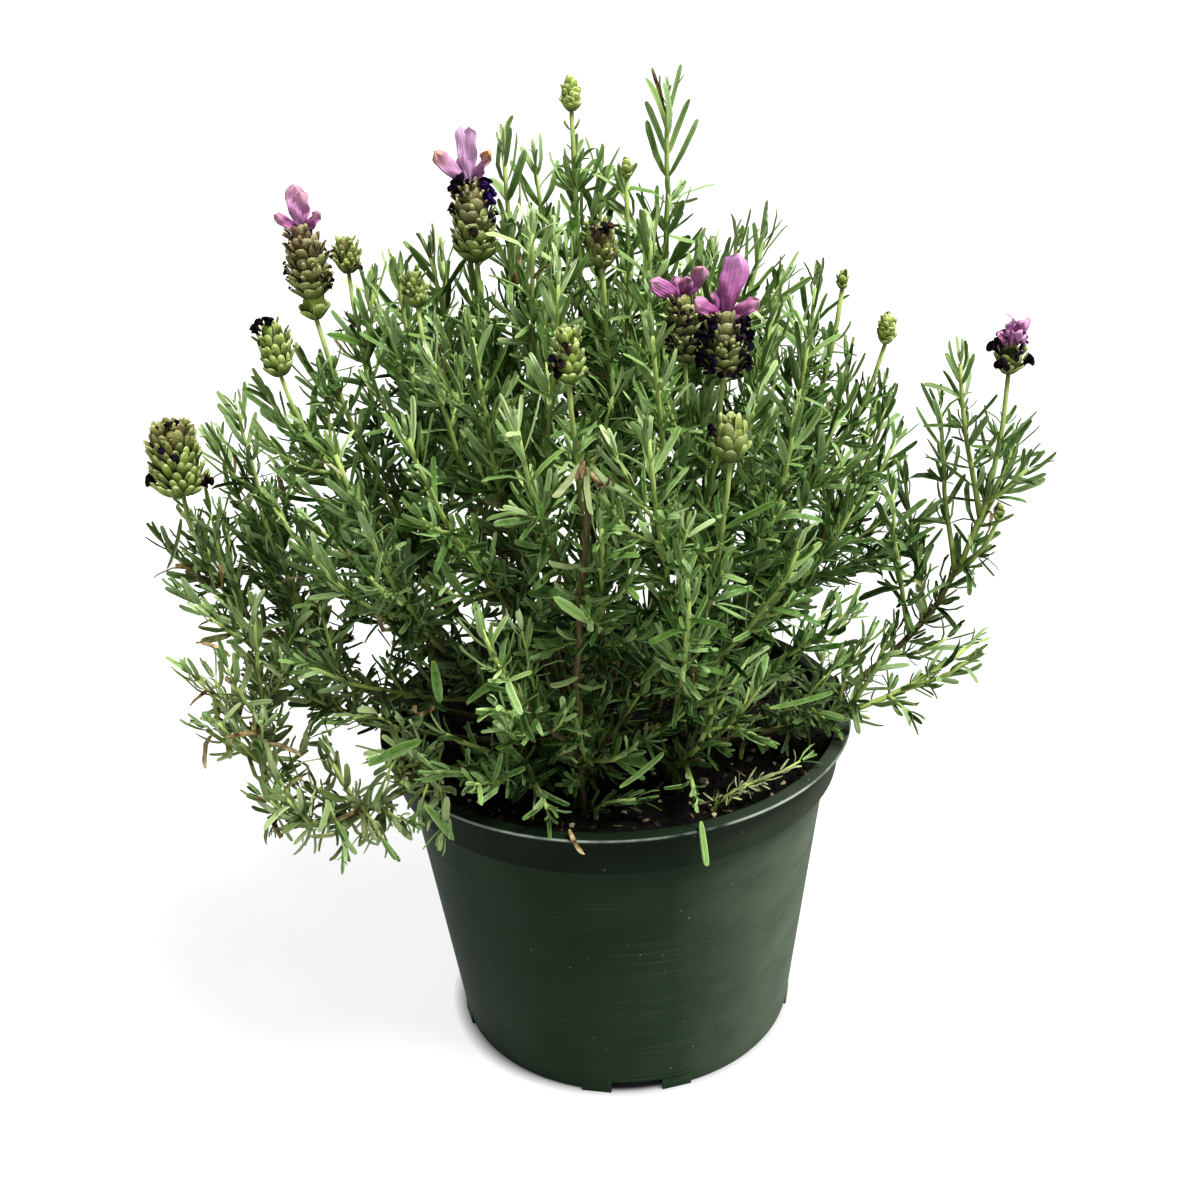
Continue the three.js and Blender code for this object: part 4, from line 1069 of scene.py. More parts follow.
def isBlocked(point):
    reach = math.hypot(point.x, point.y)
    if reach < pot["collarFootRadius"] - pot["wall"] - keepClear["wall"]:
        if point.z < soilTop(point.x, point.y) + keepClear["soil"]:
            return True
    elif reach < pot["rimRadius"] + keepClear["rim"]:
        if point.z < pot["rimHeight"] + keepClear["lip"]:
            return True
    elif point.z < keepClear["ground"]:
        return True
    if not headBoxLow.x < point.x < headBoxHigh.x or point.z < headBoxLow.z:
        return False
    least, more = keepClear["girth"]
    for head in heads:
        line = head["along"] * head["length"]
        share = min(max((point - head["base"]).dot(line) / line.dot(line), 0), 1)
        girth = head["width"] * (least + more * math.sin(math.pi * share))
        if (head["base"] + line * share - point).length < girth:
            return True
    return False


headBoxLow = Vector([min(head["base"][i] for head in heads) - keepClear["box"] for i in range(3)])
headBoxHigh = Vector([max(head["base"][i] for head in heads) + keepClear["box"] for i in range(3)])


def ramp(pair, share):
    return pair[0] + (pair[1] - pair[0]) * min(max(share, 0), 1)


# What makes a leaf look fresh and lit: its height over the soil and its reach from the middle, which paint
# light high and outside and shade low and inside, and how near it is to its shoot's tip, each with its weight
freshAndLitLook = {
    "heightFrom": 118,
    "heightSpan": 150,
    "reachSpan": 110,
    "tipSpan": 18,
    "height": 0.46,
    "reach": 0.14,
    "tip": (0.2, 0.24),
    "scatter": 0.12,
}


# How fresh a leaf looks, with painted light in it: young and painted lighter at the top, old and in painted
# shade low down inside
def freshAndLitShare(draw, point, back, habit):
    height = min(max((point.z - freshAndLitLook["heightFrom"]) / freshAndLitLook["heightSpan"], 0), 1)
    reach = min(math.hypot(point.x, point.y) / freshAndLitLook["reachSpan"], 1)
    young = math.exp(-back / freshAndLitLook["tipSpan"])
    low, more = freshAndLitLook["tip"]
    share = freshAndLitLook["height"] * height + freshAndLitLook["reach"] * reach + young * (low + more * height)
    scatter = draw.uniform(-freshAndLitLook["scatter"], freshAndLitLook["scatter"])
    return min(max(share + habit["fresh"] + scatter, 0), 1)


def heightShare(point):
    return (point.z - shoot["heightFrom"]) / shoot["heightSpan"]


# Lays one leaf, turned up where it would cut the pot, the soil or a head, or leaves it out
def layLeaf(draw, leaves, foot, along, out, lean, length, fresh, habit):
    isDry = draw.random() < habit["dry"] * (1.5 - fresh)
    isBroad = not isDry and length > 11 and draw.random() < habit["broad"]
    kind = blades["broad"] if isBroad else blades["narrow"]
    isCurled = draw.random() < habit["curled"]
    shapes = curledLeaves if isCurled else narrowLeaves
    shapes = dryLeaves if isDry and draw.random() < 0.6 else broadLeaves if isBroad else shapes
    long = length / kind["length"] * (1.25 if isBroad else 1)
    for lift in (0, -16, -32, -50):
        turn = math.radians(lean + lift)
        forward = along * math.cos(turn) + out * math.sin(turn)
        reach = long * kind["length"]
        if not any(isBlocked(foot + forward * reach * share - up * reach * drop)
                   for share, drop in ((0.4, 0.0), (0.7, 0.04), (1, 0.12))):
            break
    else:
        return
    wide = min(1.12, long ** 0.6) * draw.uniform(0.86, 1.12) * habit.get("wide", habit["size"])
    wide *= ramp(shoot["heightWidth"], heightShare(foot))
    chance = draw.random()
    dried = draw.uniform(0.6, 1) if isDry else max(0, draw.uniform(-0.5, 0.12)) + habit["grey"]
    face = along - out * 0.1 + along.cross(out) * draw.uniform(-0.9, 0.9)
    place = placeAt(foot, forward, face, wide, long)
    leaves.append(layCopy(draw.choice(shapes), place, (fresh, chance, dried)))


# Clothes a path with crossed pairs of leaves, tufts in their axils and side shoots, from its tip down
def growShoot(draw, points, habit, leaves, woods, rank, bare=0.05, hasHead=False):
    lengths = lengthsOf(points)
    whole = float(lengths[-1])
    woodEnd = whole - (0 if hasHead else min(shoot["woodEnd"], whole * 0.5))
    layWood(draw, points, lengths, woodEnd, rank, habit, woods)
    size = habit["size"] * (shoot["twigSize"] if rank == 2 else 1)
    tip, along = pointAt(points, lengths, woodEnd)
    if not hasHead:
        side = Vector((draw.uniform(-1, 1), draw.uniform(-1, 1), 0.1))
        tint = (min(1, freshAndLitShare(draw, tip, 0, habit) + 0.08), draw.random(), 0)
        long = (whole - woodEnd) / shoot["tipTuftLength"] * draw.uniform(0.9, 1.1)
        place = placeAt(tip, along, side, min(1, long * 1.1), long)
        leaves.append(layCopy(draw.choice(tipTufts), place, tint))
    turn = draw.uniform(0, 2 * math.pi)
    back = shoot["belowHead"] if hasHead else shoot["firstPair"]
    while back < woodEnd - whole * bare:
        point, along = pointAt(points, lengths, woodEnd - back)
        across = along.cross(Vector((0.3, 1, 0.1))).normalized()
        young = 1 - min(back / shoot["leanReach"], 1)
        thin = 1 - shoot["thinning"] * back / whole
        length = ramp(shoot["leafLength"], back / shoot["leafReach"]) * size
        length *= ramp(shoot["heightGain"], heightShare(point))
        if hasHead and back < shoot["belowHead"] + 4:
            length = shoot["headLeafLength"]
        turn += math.pi / 2 + math.radians(draw.uniform(-shoot["scatter"], shoot["scatter"]))
        for half in (0, math.pi):
            side = turn + half + math.radians(draw.uniform(-shoot["scatter"], shoot["scatter"]))
            out = across * math.cos(side) + along.cross(across) * math.sin(side)
            lean = ramp(shoot["lean"], 1 - young) + habit["lean"]
            lean += draw.uniform(-shoot["leanScatter"], shoot["leanScatter"])
            fresh = freshAndLitShare(draw, point, back, habit)
            if draw.random() < thin or back < shoot["fullWithin"]:
                layLeaf(draw, leaves, point + out * 0.6, along, out, lean,
                        length * draw.uniform(*shoot["leafSpread"]), fresh, habit)
            tuftChance = shoot["tuftChance"] * thin * habit["tufts"]
            if back > shoot["tuftFrom"] and draw.random() < tuftChance:
                tilt = math.radians(lean * shoot["tuftLean"])
                forward = along * math.cos(tilt) + out * math.sin(tilt)
                tuft = ramp(shoot["tuftSize"], back / shoot["tuftReach"]) * draw.uniform(0.75, 1.15) * size
                if not isBlocked(point + forward * shoot["tuftLength"] * tuft):
                    tint = (min(1, fresh + 0.16), draw.random(), habit["grey"])
                    place = placeAt(point + out * 0.5, forward, along + out, tuft, tuft)
                    leaves.append(layCopy(draw.choice(axilTufts), place, tint))
            canBranch = rank < 2 and shoot["sideFrom"] < back < woodEnd * 0.75
            if canBranch and draw.random() < shoot["sideChance"] * habit["sides"]:
                growSide(draw, point, along, out, back, habit, leaves, woods)
        apart = ramp(shoot["spacing"], back / shoot["spacingReach"]) * size
        back += apart * draw.uniform(0.85, 1.15)


def growSide(draw, point, along, out, back, habit, leaves, woods):
    length = draw.uniform(*shoot["sideLength"]) * min(1, 0.5 + back / 80)
    tilt = math.radians(shoot["sideLean"] + draw.uniform(-shoot["leanScatter"], shoot["leanScatter"]))
    forward = along * math.cos(tilt) + out * math.sin(tilt)
    bend = (along * 0.5 + up * 0.6 + out * 0.15 - forward) * 0.5
    points = [point + (forward * t + bend * t * t) * length for t in (0, 0.2, 0.4, 0.6, 0.8, 1)]
    if not any(isBlocked(place) for place in points[2:]):
        growShoot(draw, points, habit, leaves, woods, 2)


# Low shoots that fill the stem's foot, out to the sides and up
def growBasal(draw, curve, habit, leaves, woods):
    lengths = lengthsOf(curve)
    for _ in range(habit["basal"]):
        rise = draw.uniform(*habit["rise"])
        point = pointAt(curve, lengths, lengths[-1] * rise)[0]
        length = draw.uniform(*habit["lowLength"])
        turn = draw.uniform(0, 2 * math.pi)
        out = Vector((math.cos(turn), math.sin(turn), 0))
        upright = habit["upright"]
        away = Vector((point.x, point.y, 0)) / 60 * (1 - min(upright, 1))
        forward = (out + away + up * (draw.uniform(0.15, 0.9) + upright)).normalized()
        bend = up * draw.uniform(0.1, 0.7) + out * 0.2
        points = [point + (forward * t + bend * t * t * 0.5) * length for t in (0, 0.2, 0.4, 0.6, 0.8, 1)]
        if not any(isBlocked(place) for place in points[1:]):
            growShoot(draw, points, habit, leaves, woods, 2)


# Shoots that the photo shows in places of their own: where each bends and where it ends. Each leaves its
# stem at the point nearest its bend.
sprays = {
    "left_trailing": (((-56, -58, 140), (-65, -80, 121)), ((-66, -54, 150), (-76, -75, 128)),
                      ((-84, -70, 134), (-69, -83, 114)), ((-99, -58, 146), (-86, -72, 113)),
                      ((-60, -58, 146), (-78, -80, 148)), ((-67, -50, 158), (-92, -66, 152)),
                      ((-52, -68, 132), (-56, -88, 118)), ((-74, -74, 126), (-58, -86, 128))),
    "right_low": (((56, -45, 143), (77, -40, 158)), ((59, -45, 147), (74, -48, 130)),
                  ((50, -40, 148), (67, -35, 169)), ((70, -40, 149), (87, -38, 167)),
                  ((63, -20, 149), (86, -15, 163))),
    "front_low_right": (((39, -55, 145), (51, -58, 131)), ((36, -50, 151), (48, -50, 171)),
                        ((28, -60, 153), (38, -62, 169))),
}


def growSpray(draw, trunk, bend, tip, habit, leaves, woods):
    bend, tip = Vector(bend), Vector(tip)
    start = min(trunk, key=lambda point: (point - bend).length)
    shares = (0, 0.15, 0.3, 0.45, 0.6, 0.75, 0.9, 1)
    points = [start * (1 - t) ** 2 + bend * (2 * t * (1 - t)) + tip * t * t for t in shares]
    growShoot(draw, points, habit, leaves, woods, 2)


# Wood as a spline, a little crooked, thinner towards its tip. Its shade follows the distance from the tip.
def layWood(draw, points, lengths, woodEnd, rank, habit, woods):
    count = max(3, round(woodEnd / (9 if rank < 2 else 6)))
    root, tip = shoot["woodRadii"][rank]
    spline = []
    for i in range(count + 1):
        share = i / count
        point, _ = pointAt(points, lengths, woodEnd * share)
        if 0 < i < count:
            point = point + Vector([draw.uniform(-1, 1) for _ in range(3)]) * 0.35
        radius = (root + (tip - root) * share ** 0.7) * habit["wood"]
        young = 1 - min(woodEnd * (1 - share) / habit["bark"], 1)
        spline.append((point, radius, young))
    woods.append(spline)


def makeWood(woods):
    curve = bpy.data.curves.new("wood", "CURVE")
    curve.dimensions = "3D"
    curve.bevel_depth = mm
    curve.bevel_resolution = 1
    curve.use_fill_caps = True
    for points in woods:
        spline = curve.splines.new("POLY")
        spline.points.add(len(points) - 1)
        for node, (point, radius, _) in zip(spline.points, points):
            node.co = (*(point * mm), 1)
            node.radius = radius
    wood = bpy.data.objects.new("wood", curve)
    bpy.context.collection.objects.link(wood)
    selectOnly(wood)
    bpy.ops.object.convert(target="MESH")
    wood = bpy.context.object
    closeUp(wood)
    places = KDTree(sum(len(points) for points in woods))
    shades = []
    for points in woods:
        for point, _, shade in points:
            places.insert(point * mm, len(shades))
            shades.append(shade)
    places.balance()
    addTint(wood)
    for vertex, tint in zip(wood.data.vertices, wood.data.attributes["tint"].data):
        tint.color = (shades[places.find(vertex.co)[1]], 0, 0, 1)
    wood.data.materials.append(barkSurface)
    bpy.ops.object.shade_smooth()
    return wood


# Single leaves that the photo shows in places of their own: kind, foot, tip, freshness and dryness
strayShapes = {
    "broad": broadLeaves,
    "narrow": narrowLeaves[2:4],
    "curl": curledLeaves[:2],
    "dry": dryLeaves,
}
strays = {
    "left_trailing": (("broad", (-75, -80, 147), (-59, -84, 158), 0.5, 0),
                      ("broad", (-60, -76, 130), (-50, -84, 123), 0.55, 0),
                      ("dry", (-124, -30, 161), (-134, -34, 175), 0.2, 0.9),
                      ("dry", (-56, -60, 155), (-68, -64, 147), 0.2, 1)),
    "front_low_left": (("broad", (-55, -60, 171), (-53, -70, 162), 0.5, 0),
                       ("broad", (-45, -70, 161), (-32, -74, 176), 0.5, 0)),
    "left_branch": (("narrow", (-141, 0, 198), (-144, -6, 181), 0.02, 0.1),),
    "front_low_mid": (("broad", (8, -68, 164), (15, -76, 182), 0.5, 0),
                      ("narrow", (0, -78, 134), (16, -78, 145), 0.6, 0),
                      ("curl", (-16, -79, 120.5), (-13, -87, 112.5), 0.3, 0.9),
                      ("narrow", (24.5, -78, 120.5), (25.5, -88.5, 109.5), 0.7, 0.1)),
    "right_low": (("narrow", (48, -58, 148), (69, -58, 151), 0.55, 0),),
    "front_mid": (("dry", (-6, -90, 244), (-11, -96, 229), 0.3, 0.9),
                  ("dry", (-4, -88, 240), (-1, -94, 227), 0.3, 1),
                  ("curl", (-7, -90, 243), (-15, -94, 231), 0.3, 0.55),
                  ("curl", (-5, -90, 242), (-7, -97, 228), 0.4, 0.5),
                  ("curl", (-4, -90, 243), (4, -96, 230), 0.4, 0.45),
                  ("curl", (-4, -90, 244), (5, -94, 248), 0.3, 0.6),
                  ("curl", (-8, -89, 213), (-19, -92, 212), 0.4, 0.5),
                  ("curl", (-8, -89, 211), (2, -92, 215), 0.4, 0.4),
                  ("curl", (-9, -86, 202), (-20, -90, 206), 0.45, 0.45),
                  ("curl", (-8.5, -86, 202), (2, -90, 198), 0.4, 0.5),
                  ("curl", (-10, -82, 187), (-20, -87, 190), 0.5, 0.45),
                  ("curl", (-10, -82, 188), (0, -87, 190), 0.45, 0.4),
                  ("curl", (-11, -79, 173), (-21, -85, 170), 0.5, 0.4),
                  ("curl", (-11, -78, 170), (-1, -84, 166), 0.5, 0.4)),
}


# A bare brown stem in front that carries the dry leaves, as points up its length
bareStem = {
    "on": "front_mid",
    "points": ((-11, -60, 112), (-12.5, -58, 132), (-11.4, -66, 152), (-11.8, -77, 170), (-9.6, -83, 187),
               (-9.4, -85, 201), (-7, -89, 214), (-5.5, -90, 229), (-6, -91, 242)),
    "radius": 0.95,
    "shade": 0.16,
}


def layStray(draw, leaves, kind, foot, tip, fresh, dried):
    forward = Vector(tip) - Vector(foot)
    long = forward.length / blades["broad" if kind == "broad" else "narrow"]["length"]
    face = Vector((draw.uniform(-0.4, 0.4), -0.5, 0.8))
    tint = (fresh, draw.uniform(0.4, 0.8), dried)
    place = placeAt(Vector(foot), forward.normalized(), face, min(1, long ** 0.5), long)
    leaves.append(layCopy(draw.choice(strayShapes[kind]), place, tint))


def makeStem(stem, seed):
    draw = random.Random(seed)
    habit = {**plainHabit, **habits.get(stem["name"], {})}
    leaves, woods = [], []
    for index, part in enumerate(stem["arms"]):
        curve = part["curve"]
        if not index:
            curve = [curve[0] - up * shoot["rootDepth"]] + curve
        bare = shoot["armBare"] if index else habit.get("bare", stem["bare"])
        growShoot(draw, curve, habit, leaves, woods, min(index, 1), bare, bool(part["head"]))
    growBasal(draw, stem["arms"][0]["curve"], habit, leaves, woods)
    for bend, tip in sprays.get(stem["name"], ()):
        growSpray(draw, stem["arms"][0]["curve"], bend, tip, habit, leaves, woods)
    for stray in strays.get(stem["name"], ()):
        layStray(draw, leaves, *stray)
    if stem["name"] == bareStem["on"]:
        woods.append([(Vector(point), bareStem["radius"], bareStem["shade"]) for point in bareStem["points"]])
    wood = makeWood(woods)
    piece = joinAll(wood, leaves)
    slot = "leaf_shaded" if stem["name"] in shadedStems else "leaf_fresh"
    finishPiece(piece, stem["name"] + "_foliage", slot, stem["name"])
    return len(leaves)


leafCount = sum(makeStem(stem, shoot["seed"] + i) for i, stem in enumerate(stems))
for shape in (*narrowLeaves, *youngLeaves, *broadLeaves, *dryLeaves, *axilTufts, *tipTufts):
    bpy.data.objects.remove(shape)
print("foliage made,", leafCount, "leaves and tufts")


# Scales of the open heads, plump pods of the green ones and a floret, in millimetres
scales = {
    "tile": {
        "length": 5.6, "width": 4.5, "foot": 0.5,
        "stations": ((0.2, 0.85), (0.5, 1), (0.78, 0.92), (0.94, 0.6)),
        "section": ((0, 0.13), (-0.3, 0.06), (-0.5, -0.08), (-0.3, -0.09), (0, -0.06), (0.3, -0.09),
                    (0.5, -0.08), (0.3, 0.06)),
    },
    "pod": {
        "length": 5.8, "width": 3.0, "foot": 0.5,
        "stations": ((0.15, 0.8), (0.45, 1), (0.76, 0.92), (0.93, 0.58)),
        "section": ((0, 0.3), (-0.3, 0.15), (-0.5, 0), (-0.3, -0.16), (0, -0.22), (0.3, -0.16), (0.5, 0),
                    (0.3, 0.15)),
    },
}
floret = {"sides": 10, "rings": ((0.5, 0), (0.6, 1.5), (1.7, 2.3), (1.5, 2.8), (0.5, 2.4)), "notch": 0.5}

# How the scales of each kind of head sit: which scale, how many rows and how many around, their size, how
# full the head's outline is, where it bellies out, how far its foot flares, and how many teeth and scales
# on its crown it has
lookParts = ("scale", "rows", "around", "size", "full", "belly", "flare", "teeth", "crown")
headKinds = {
    "open": ("tile", 8, 10, 0.98, 2.2, 0.66, 0.7, 70, 0),
    "short": ("tile", 6, 10, 0.92, 2.4, 0.7, 0.7, 50, 0),
    "slim": ("tile", 7, 8, 0.76, 2.6, 0.75, 0.5, 60, 0),
    "tall": ("tile", 7, 9, 0.86, 2.4, 0.72, 0.8, 70, 0),
    "dark": ("tile", 3, 7, 0.9, 2.4, 0.8, 0.4, 12, 0),
    "spent": ("pod", 9, 13, 1.04, 4.2, 0.72, 1.2, 40, 14),
    "green": ("pod", 5, 10, 1.0, 2.8, 0.9, 0.4, 20, 5),
    "bud": ("tile", 7, 7, 0.6, 2.1, 0.75, 0.6, 0, 0),
    "tiny": ("tile", 3, 5, 0.55, 2.4, 0.9, 0.1, 0, 0),
}
headLooks = {kind: dict(zip(lookParts, parts)) for kind, parts in headKinds.items()}
coreShare = 0.66
headSeed = 400

# What each head shows: how far it blushes and browns at its foot and top, how bright it is, how many of
# its florets are old, and its florets, as clusters of turn about the head (0 right, 90 behind, 270 in
# front), share of its height, how far they spread both ways, count, size and how violet they are. Some are
# longer or slimmer than their kind, and some stand on a cup, a skirt or a collar of more scales.
plainHead = {"blush": (0, 0.1), "dried": (0, 0), "bright": 0.5, "old": 0.2, "florets": (), "size": 1,
             "long": 1, "slim": 1, "raised": 0, "cup": False, "skirt": False, "collar": 0}
headShows = {
    "centre_left_head_1": {
        "blush": (-0.1, 0.7), "bright": 0.45, "old": 0.03,
        "florets": ((200, 0.88, 45, 0.09, 22, 0.85, 0.1), (350, 0.76, 38, 0.1, 20, 1.0, 1.0),
                    (265, 0.93, 40, 0.03, 4, 0.6, 0),
                    (200, 0.6, 20, 0.06, 4, 0.6, 0), (340, 0.5, 20, 0.06, 5, 0.6, 0),
                    (335, 0.3, 8, 0.02, 2, 0.6, 0),
                    (272, 0.34, 5, 0.02, 1, 1.0, 0), (90, 0.8, 60, 0.12, 12, 0.75, 0.3)),
    },
    "left_high_head_1": {
        "blush": (0.0, 0.8), "dried": (0.05, 0.35), "bright": 0.45, "cup": True, "raised": 6.5, "long": 0.76,
        "florets": ((195, 0.42, 30, 0.25, 6, 0.55, 0), (345, 0.35, 28, 0.22, 6, 0.6, 0),
                    (285, 0.2, 40, 0.1, 4, 0.55, 0),
                    (90, 0.4, 60, 0.2, 6, 0.6, 0)),
    },
    "front_right_head_1": {
        "blush": (0.0, 0.55), "bright": 0.25, "old": 0.03,
        "florets": ((195, 0.5, 48, 0.36, 38, 0.8, 0.1), (345, 0.5, 48, 0.36, 38, 0.8, 0.1),
                    (270, 0.1, 50, 0.06, 8, 0.75, 0),
                    (90, 0.5, 60, 0.3, 24, 0.8, 0.1)),
    },
    "front_right_head_2": {
        "blush": (0.1, 0.5), "bright": 0.55, "old": 0.03,
        "florets": ((270, 0.5, 85, 0.38, 30, 0.45, 0), (180, 0.45, 35, 0.32, 13, 0.65, 0),
                    (0, 0.45, 35, 0.32, 13, 0.65, 0),
                    (90, 0.5, 50, 0.3, 14, 0.65, 0)),
    },
    "right_branch_head_1": {
        "blush": (0.0, 0.4), "bright": 0.6, "dried": (0.0, 0.1), "old": 0,
        "florets": ((180, 0.72, 20, 0.1, 9, 1.2, 0), (168, 1.0, 6, 0.02, 3, 1.2, 0),
                    (10, 1.0, 12, 0.04, 5, 1.15, 0),
                    (345, 0.42, 14, 0.08, 4, 1.05, 0), (225, 0.25, 18, 0.1, 4, 0.95, 0),
                    (285, 0.6, 20, 0.1, 3, 0.7, 0),
                    (90, 0.6, 60, 0.25, 10, 1.0, 0)),
    },
    "left_branch_head_1": {
        "dried": (-0.45, 0.6), "old": 0.4, "bright": 0.52, "skirt": True, "long": 0.95, "slim": 1.04,
        "florets": ((190, 0.22, 16, 0.07, 8, 0.95, 0), (345, 0.12, 14, 0.05, 6, 0.95, 0),
                    (260, 0.66, 8, 0.02, 1, 0.9, 0),
                    (285, 0.56, 5, 0.02, 1, 0.9, 0), (275, 0.97, 60, 0.02, 6, 0.6, 0)),
    },
    "centre_front_head_2": {
        "blush": (0.0, 0.2), "dried": (0.0, 0.5), "old": 0.8, "long": 0.76, "slim": 0.76, "size": 0.85,
        "bright": 0.45,
        "florets": ((270, 0.85, 45, 0.08, 7, 0.8, 0),),
    },
    "front_mid_head_1": {
        "bright": 0.45, "old": 0.4, "long": 0.95, "slim": 0.74, "size": 0.95,
        "florets": ((235, 0.3, 22, 0.12, 8, 0.8, 0), (275, 0.6, 10, 0.06, 3, 0.7, 0)),
    },
    "front_right_low_head_1": {
        "bright": 0.3, "long": 0.84, "slim": 0.82, "size": 1.3, "rows": 4, "around": 8, "teeth": 0,
        "florets": ((200, 0.6, 12, 0.1, 2, 0.8, 0),),
    },
    "left_high_head_2": {
        "bright": 0.6, "dried": (0.1, 0.4), "long": 0.68, "slim": 0.72, "size": 0.72, "old": 0.7,
        "florets": ((190, 0.4, 30, 0.15, 4, 0.7, 0), (300, 0.15, 30, 0.06, 3, 0.6, 0)),
    },
    "left_high_head_3": {
        "bright": 0.5, "size": 0.9, "slim": 0.85, "old": 0.3,
        "florets": ((265, 0.97, 70, 0.02, 10, 0.8, 0), (180, 0.8, 30, 0.06, 4, 0.8, 0)),
    },
    "front_left_high_head_3": {"bright": 0.25, "long": 0.64, "slim": 0.62, "size": 0.7},
    "centre_back_head_1": {"bright": 0.9, "collar": 5.5},
    "centre_front_head_1": {"bright": 0.9},
    "right_high_head_1": {"bright": 0.9},
    "right_high_head_3": {"bright": 0.9},
}
darkHeads = ("front_right_head_2", "right_branch_head_1")


# A floret: a short tube that opens in five lobes
def makeFloret():
    body = turnedBody(floret["rings"], floret["sides"])
    rim = floret["rings"][2][0] * mm
    for vertex in body.data.vertices:
        reach = math.hypot(vertex.co.x, vertex.co.y)
        turn = round(math.atan2(vertex.co.y, vertex.co.x) / (2 * math.pi) * floret["sides"])
        if reach > rim * 0.9 and turn % 2:
            vertex.co.xy *= floret["notch"]
            vertex.co.z += 0.25 * mm
    selectOnly(body)
    bpy.ops.object.shade_smooth()
    body.data.materials.append(floretSurface)
    addTint(body)
    return body


def closeSheet(sheet, thickness, surface):
    closeUp(sheet)
    applyModifier(sheet, "SOLIDIFY", thickness=thickness * mm, offset=0)
    closeUp(sheet)
    bpy.ops.object.shade_smooth()
    sheet.data.materials.append(surface)
    addTint(sheet)
    return sheet


def clampTint(*values):
    return [min(max(value, 0), 1) for value in values]


# The way out of a head at a turn about it
def outFrom(head, turn):
    return head["side"] * math.cos(turn) + head["front"] * math.sin(turn)


def headRadius(head, share):
    off = abs(2 * min(max(share, 0.02), 0.98) ** head["belly"] - 1)
    return head["width"] / 2 * 0.96 * (1 - off ** head["full"]) ** (1 / head["full"])


def makeCore(head):
    steps = 8
    rings = [(max(0.4, headRadius(head, i / steps) * coreShare), head["length"] * (0.02 + 0.9 * i / steps))
             for i in range(steps + 1)]
    core = turnedBody(rings, 16)
    # Painted shade: the core takes the calyx's dark foot colour and a dark tint, and shows as shade in the
    # gaps between the scales
    for loop in core.data.uv_layers.active.data:
        loop.uv = (0.5, 0.2)
    selectOnly(core)
    bpy.ops.object.shade_smooth()
    core.data.materials.append(calyxSurface)
    addTint(core, (0.2, 0.2, 0))
    return core


# Rows of scales in turn, each from the core's surface to a tip on the head's outline
def placeScales(head, look, show, draw, rows, around, bits):
    kind = scales[look["scale"]]
    size = look["size"] * show["size"]
    span = kind["length"] * size / head["length"]
    for row in range(rows):
        tipShare = span * 0.75 + (1 - span * 0.75) * row / max(rows - 1, 1)
        footShare = max(tipShare - span * 0.95, 0)
        radius = headRadius(head, tipShare)
        count = max(min(4, around), round(around * (0.4 + 1.2 * radius / head["width"])))
        for i in range(count):
            turn = 2 * math.pi * (i + row % 2 / 2) / count + draw.uniform(-0.15, 0.15)
            out = outFrom(head, turn)
            foot = head["base"] + head["along"] * footShare * head["length"]
            foot = foot + out * headRadius(head, footShare) * coreShare * 0.85
            tip = head["base"] + head["along"] * (tipShare * head["length"] + draw.uniform(-0.6, 0.6))
            tip = tip + out * (radius * draw.uniform(0.88, 1.03) + look["flare"] * (1 - tipShare) ** 2)
            blush = ramp(show["blush"], tipShare) + draw.uniform(-0.15, 0.15)
            dried = ramp(show["dried"], tipShare) * draw.uniform(0.2, 1.5)
            bright = show["bright"] + draw.uniform(-0.28, 0.28)
            line = tip - foot
            wide = size * draw.uniform(0.85, 1.1)
            place = placeAt(foot, line.normalized(), out, wide, line.length / kind["length"])
            tint = clampTint(blush, bright, dried)
            bits.append(layCopy(draw.choice(scaleShapes[look["scale"]]), place, tint))


# Scales that close a blunt top, turned from one to the next by the golden angle
def placeCrown(head, look, show, draw, bits):
    goldenAngle = math.radians(137.5)
    count = look["crown"]
    size = look["size"] * show["size"]
    for i in range(count):
        out = outFrom(head, i * goldenAngle)
        reach = headRadius(head, 0.98) * 0.8 * math.sqrt((i + 0.3) / count)
        foot = head["base"] + head["along"] * head["length"] * 0.62 + out * reach * 0.6
        tip = head["base"] + head["along"] * head["length"] * draw.uniform(0.94, 1.03) + out * reach
        bright = show["bright"] + draw.uniform(-0.2, 0.2)
        dried = show["dried"][1] * draw.uniform(0.2, 1.2)
        tint = clampTint(show["blush"][1], bright, dried)
        line = tip - foot
        place = placeAt(foot, line.normalized(), out, size, line.length / scales[look["scale"]]["length"])
        bits.append(layCopy(draw.choice(scaleShapes[look["scale"]]), place, tint))


# Small calyx teeth that stand between the scales and roughen the head
def placeTeeth(head, look, show, draw, bits):
    for _ in range(show.get("teeth", look["teeth"])):
        share = draw.uniform(0.2, 0.93)
        out = outFrom(head, draw.uniform(0, 2 * math.pi))
        foot = head["base"] + head["along"] * share * head["length"] + out * headRadius(head, share) * 0.78
        forward = (head["along"] * draw.uniform(0.6, 1.1) + out * 0.6).normalized()
        size = draw.uniform(0.32, 0.58)
        blush = ramp(show["blush"], share) + draw.uniform(-0.2, 0.2)
        bright = show["bright"] + draw.uniform(-0.1, 0.5)
        dried = ramp(show["dried"], share) * draw.uniform(0.2, 1.5)
        place = placeAt(foot, forward, out, size, size)
        bits.append(layCopy(draw.choice(scaleShapes["pod"]), place, clampTint(blush, bright, dried)))


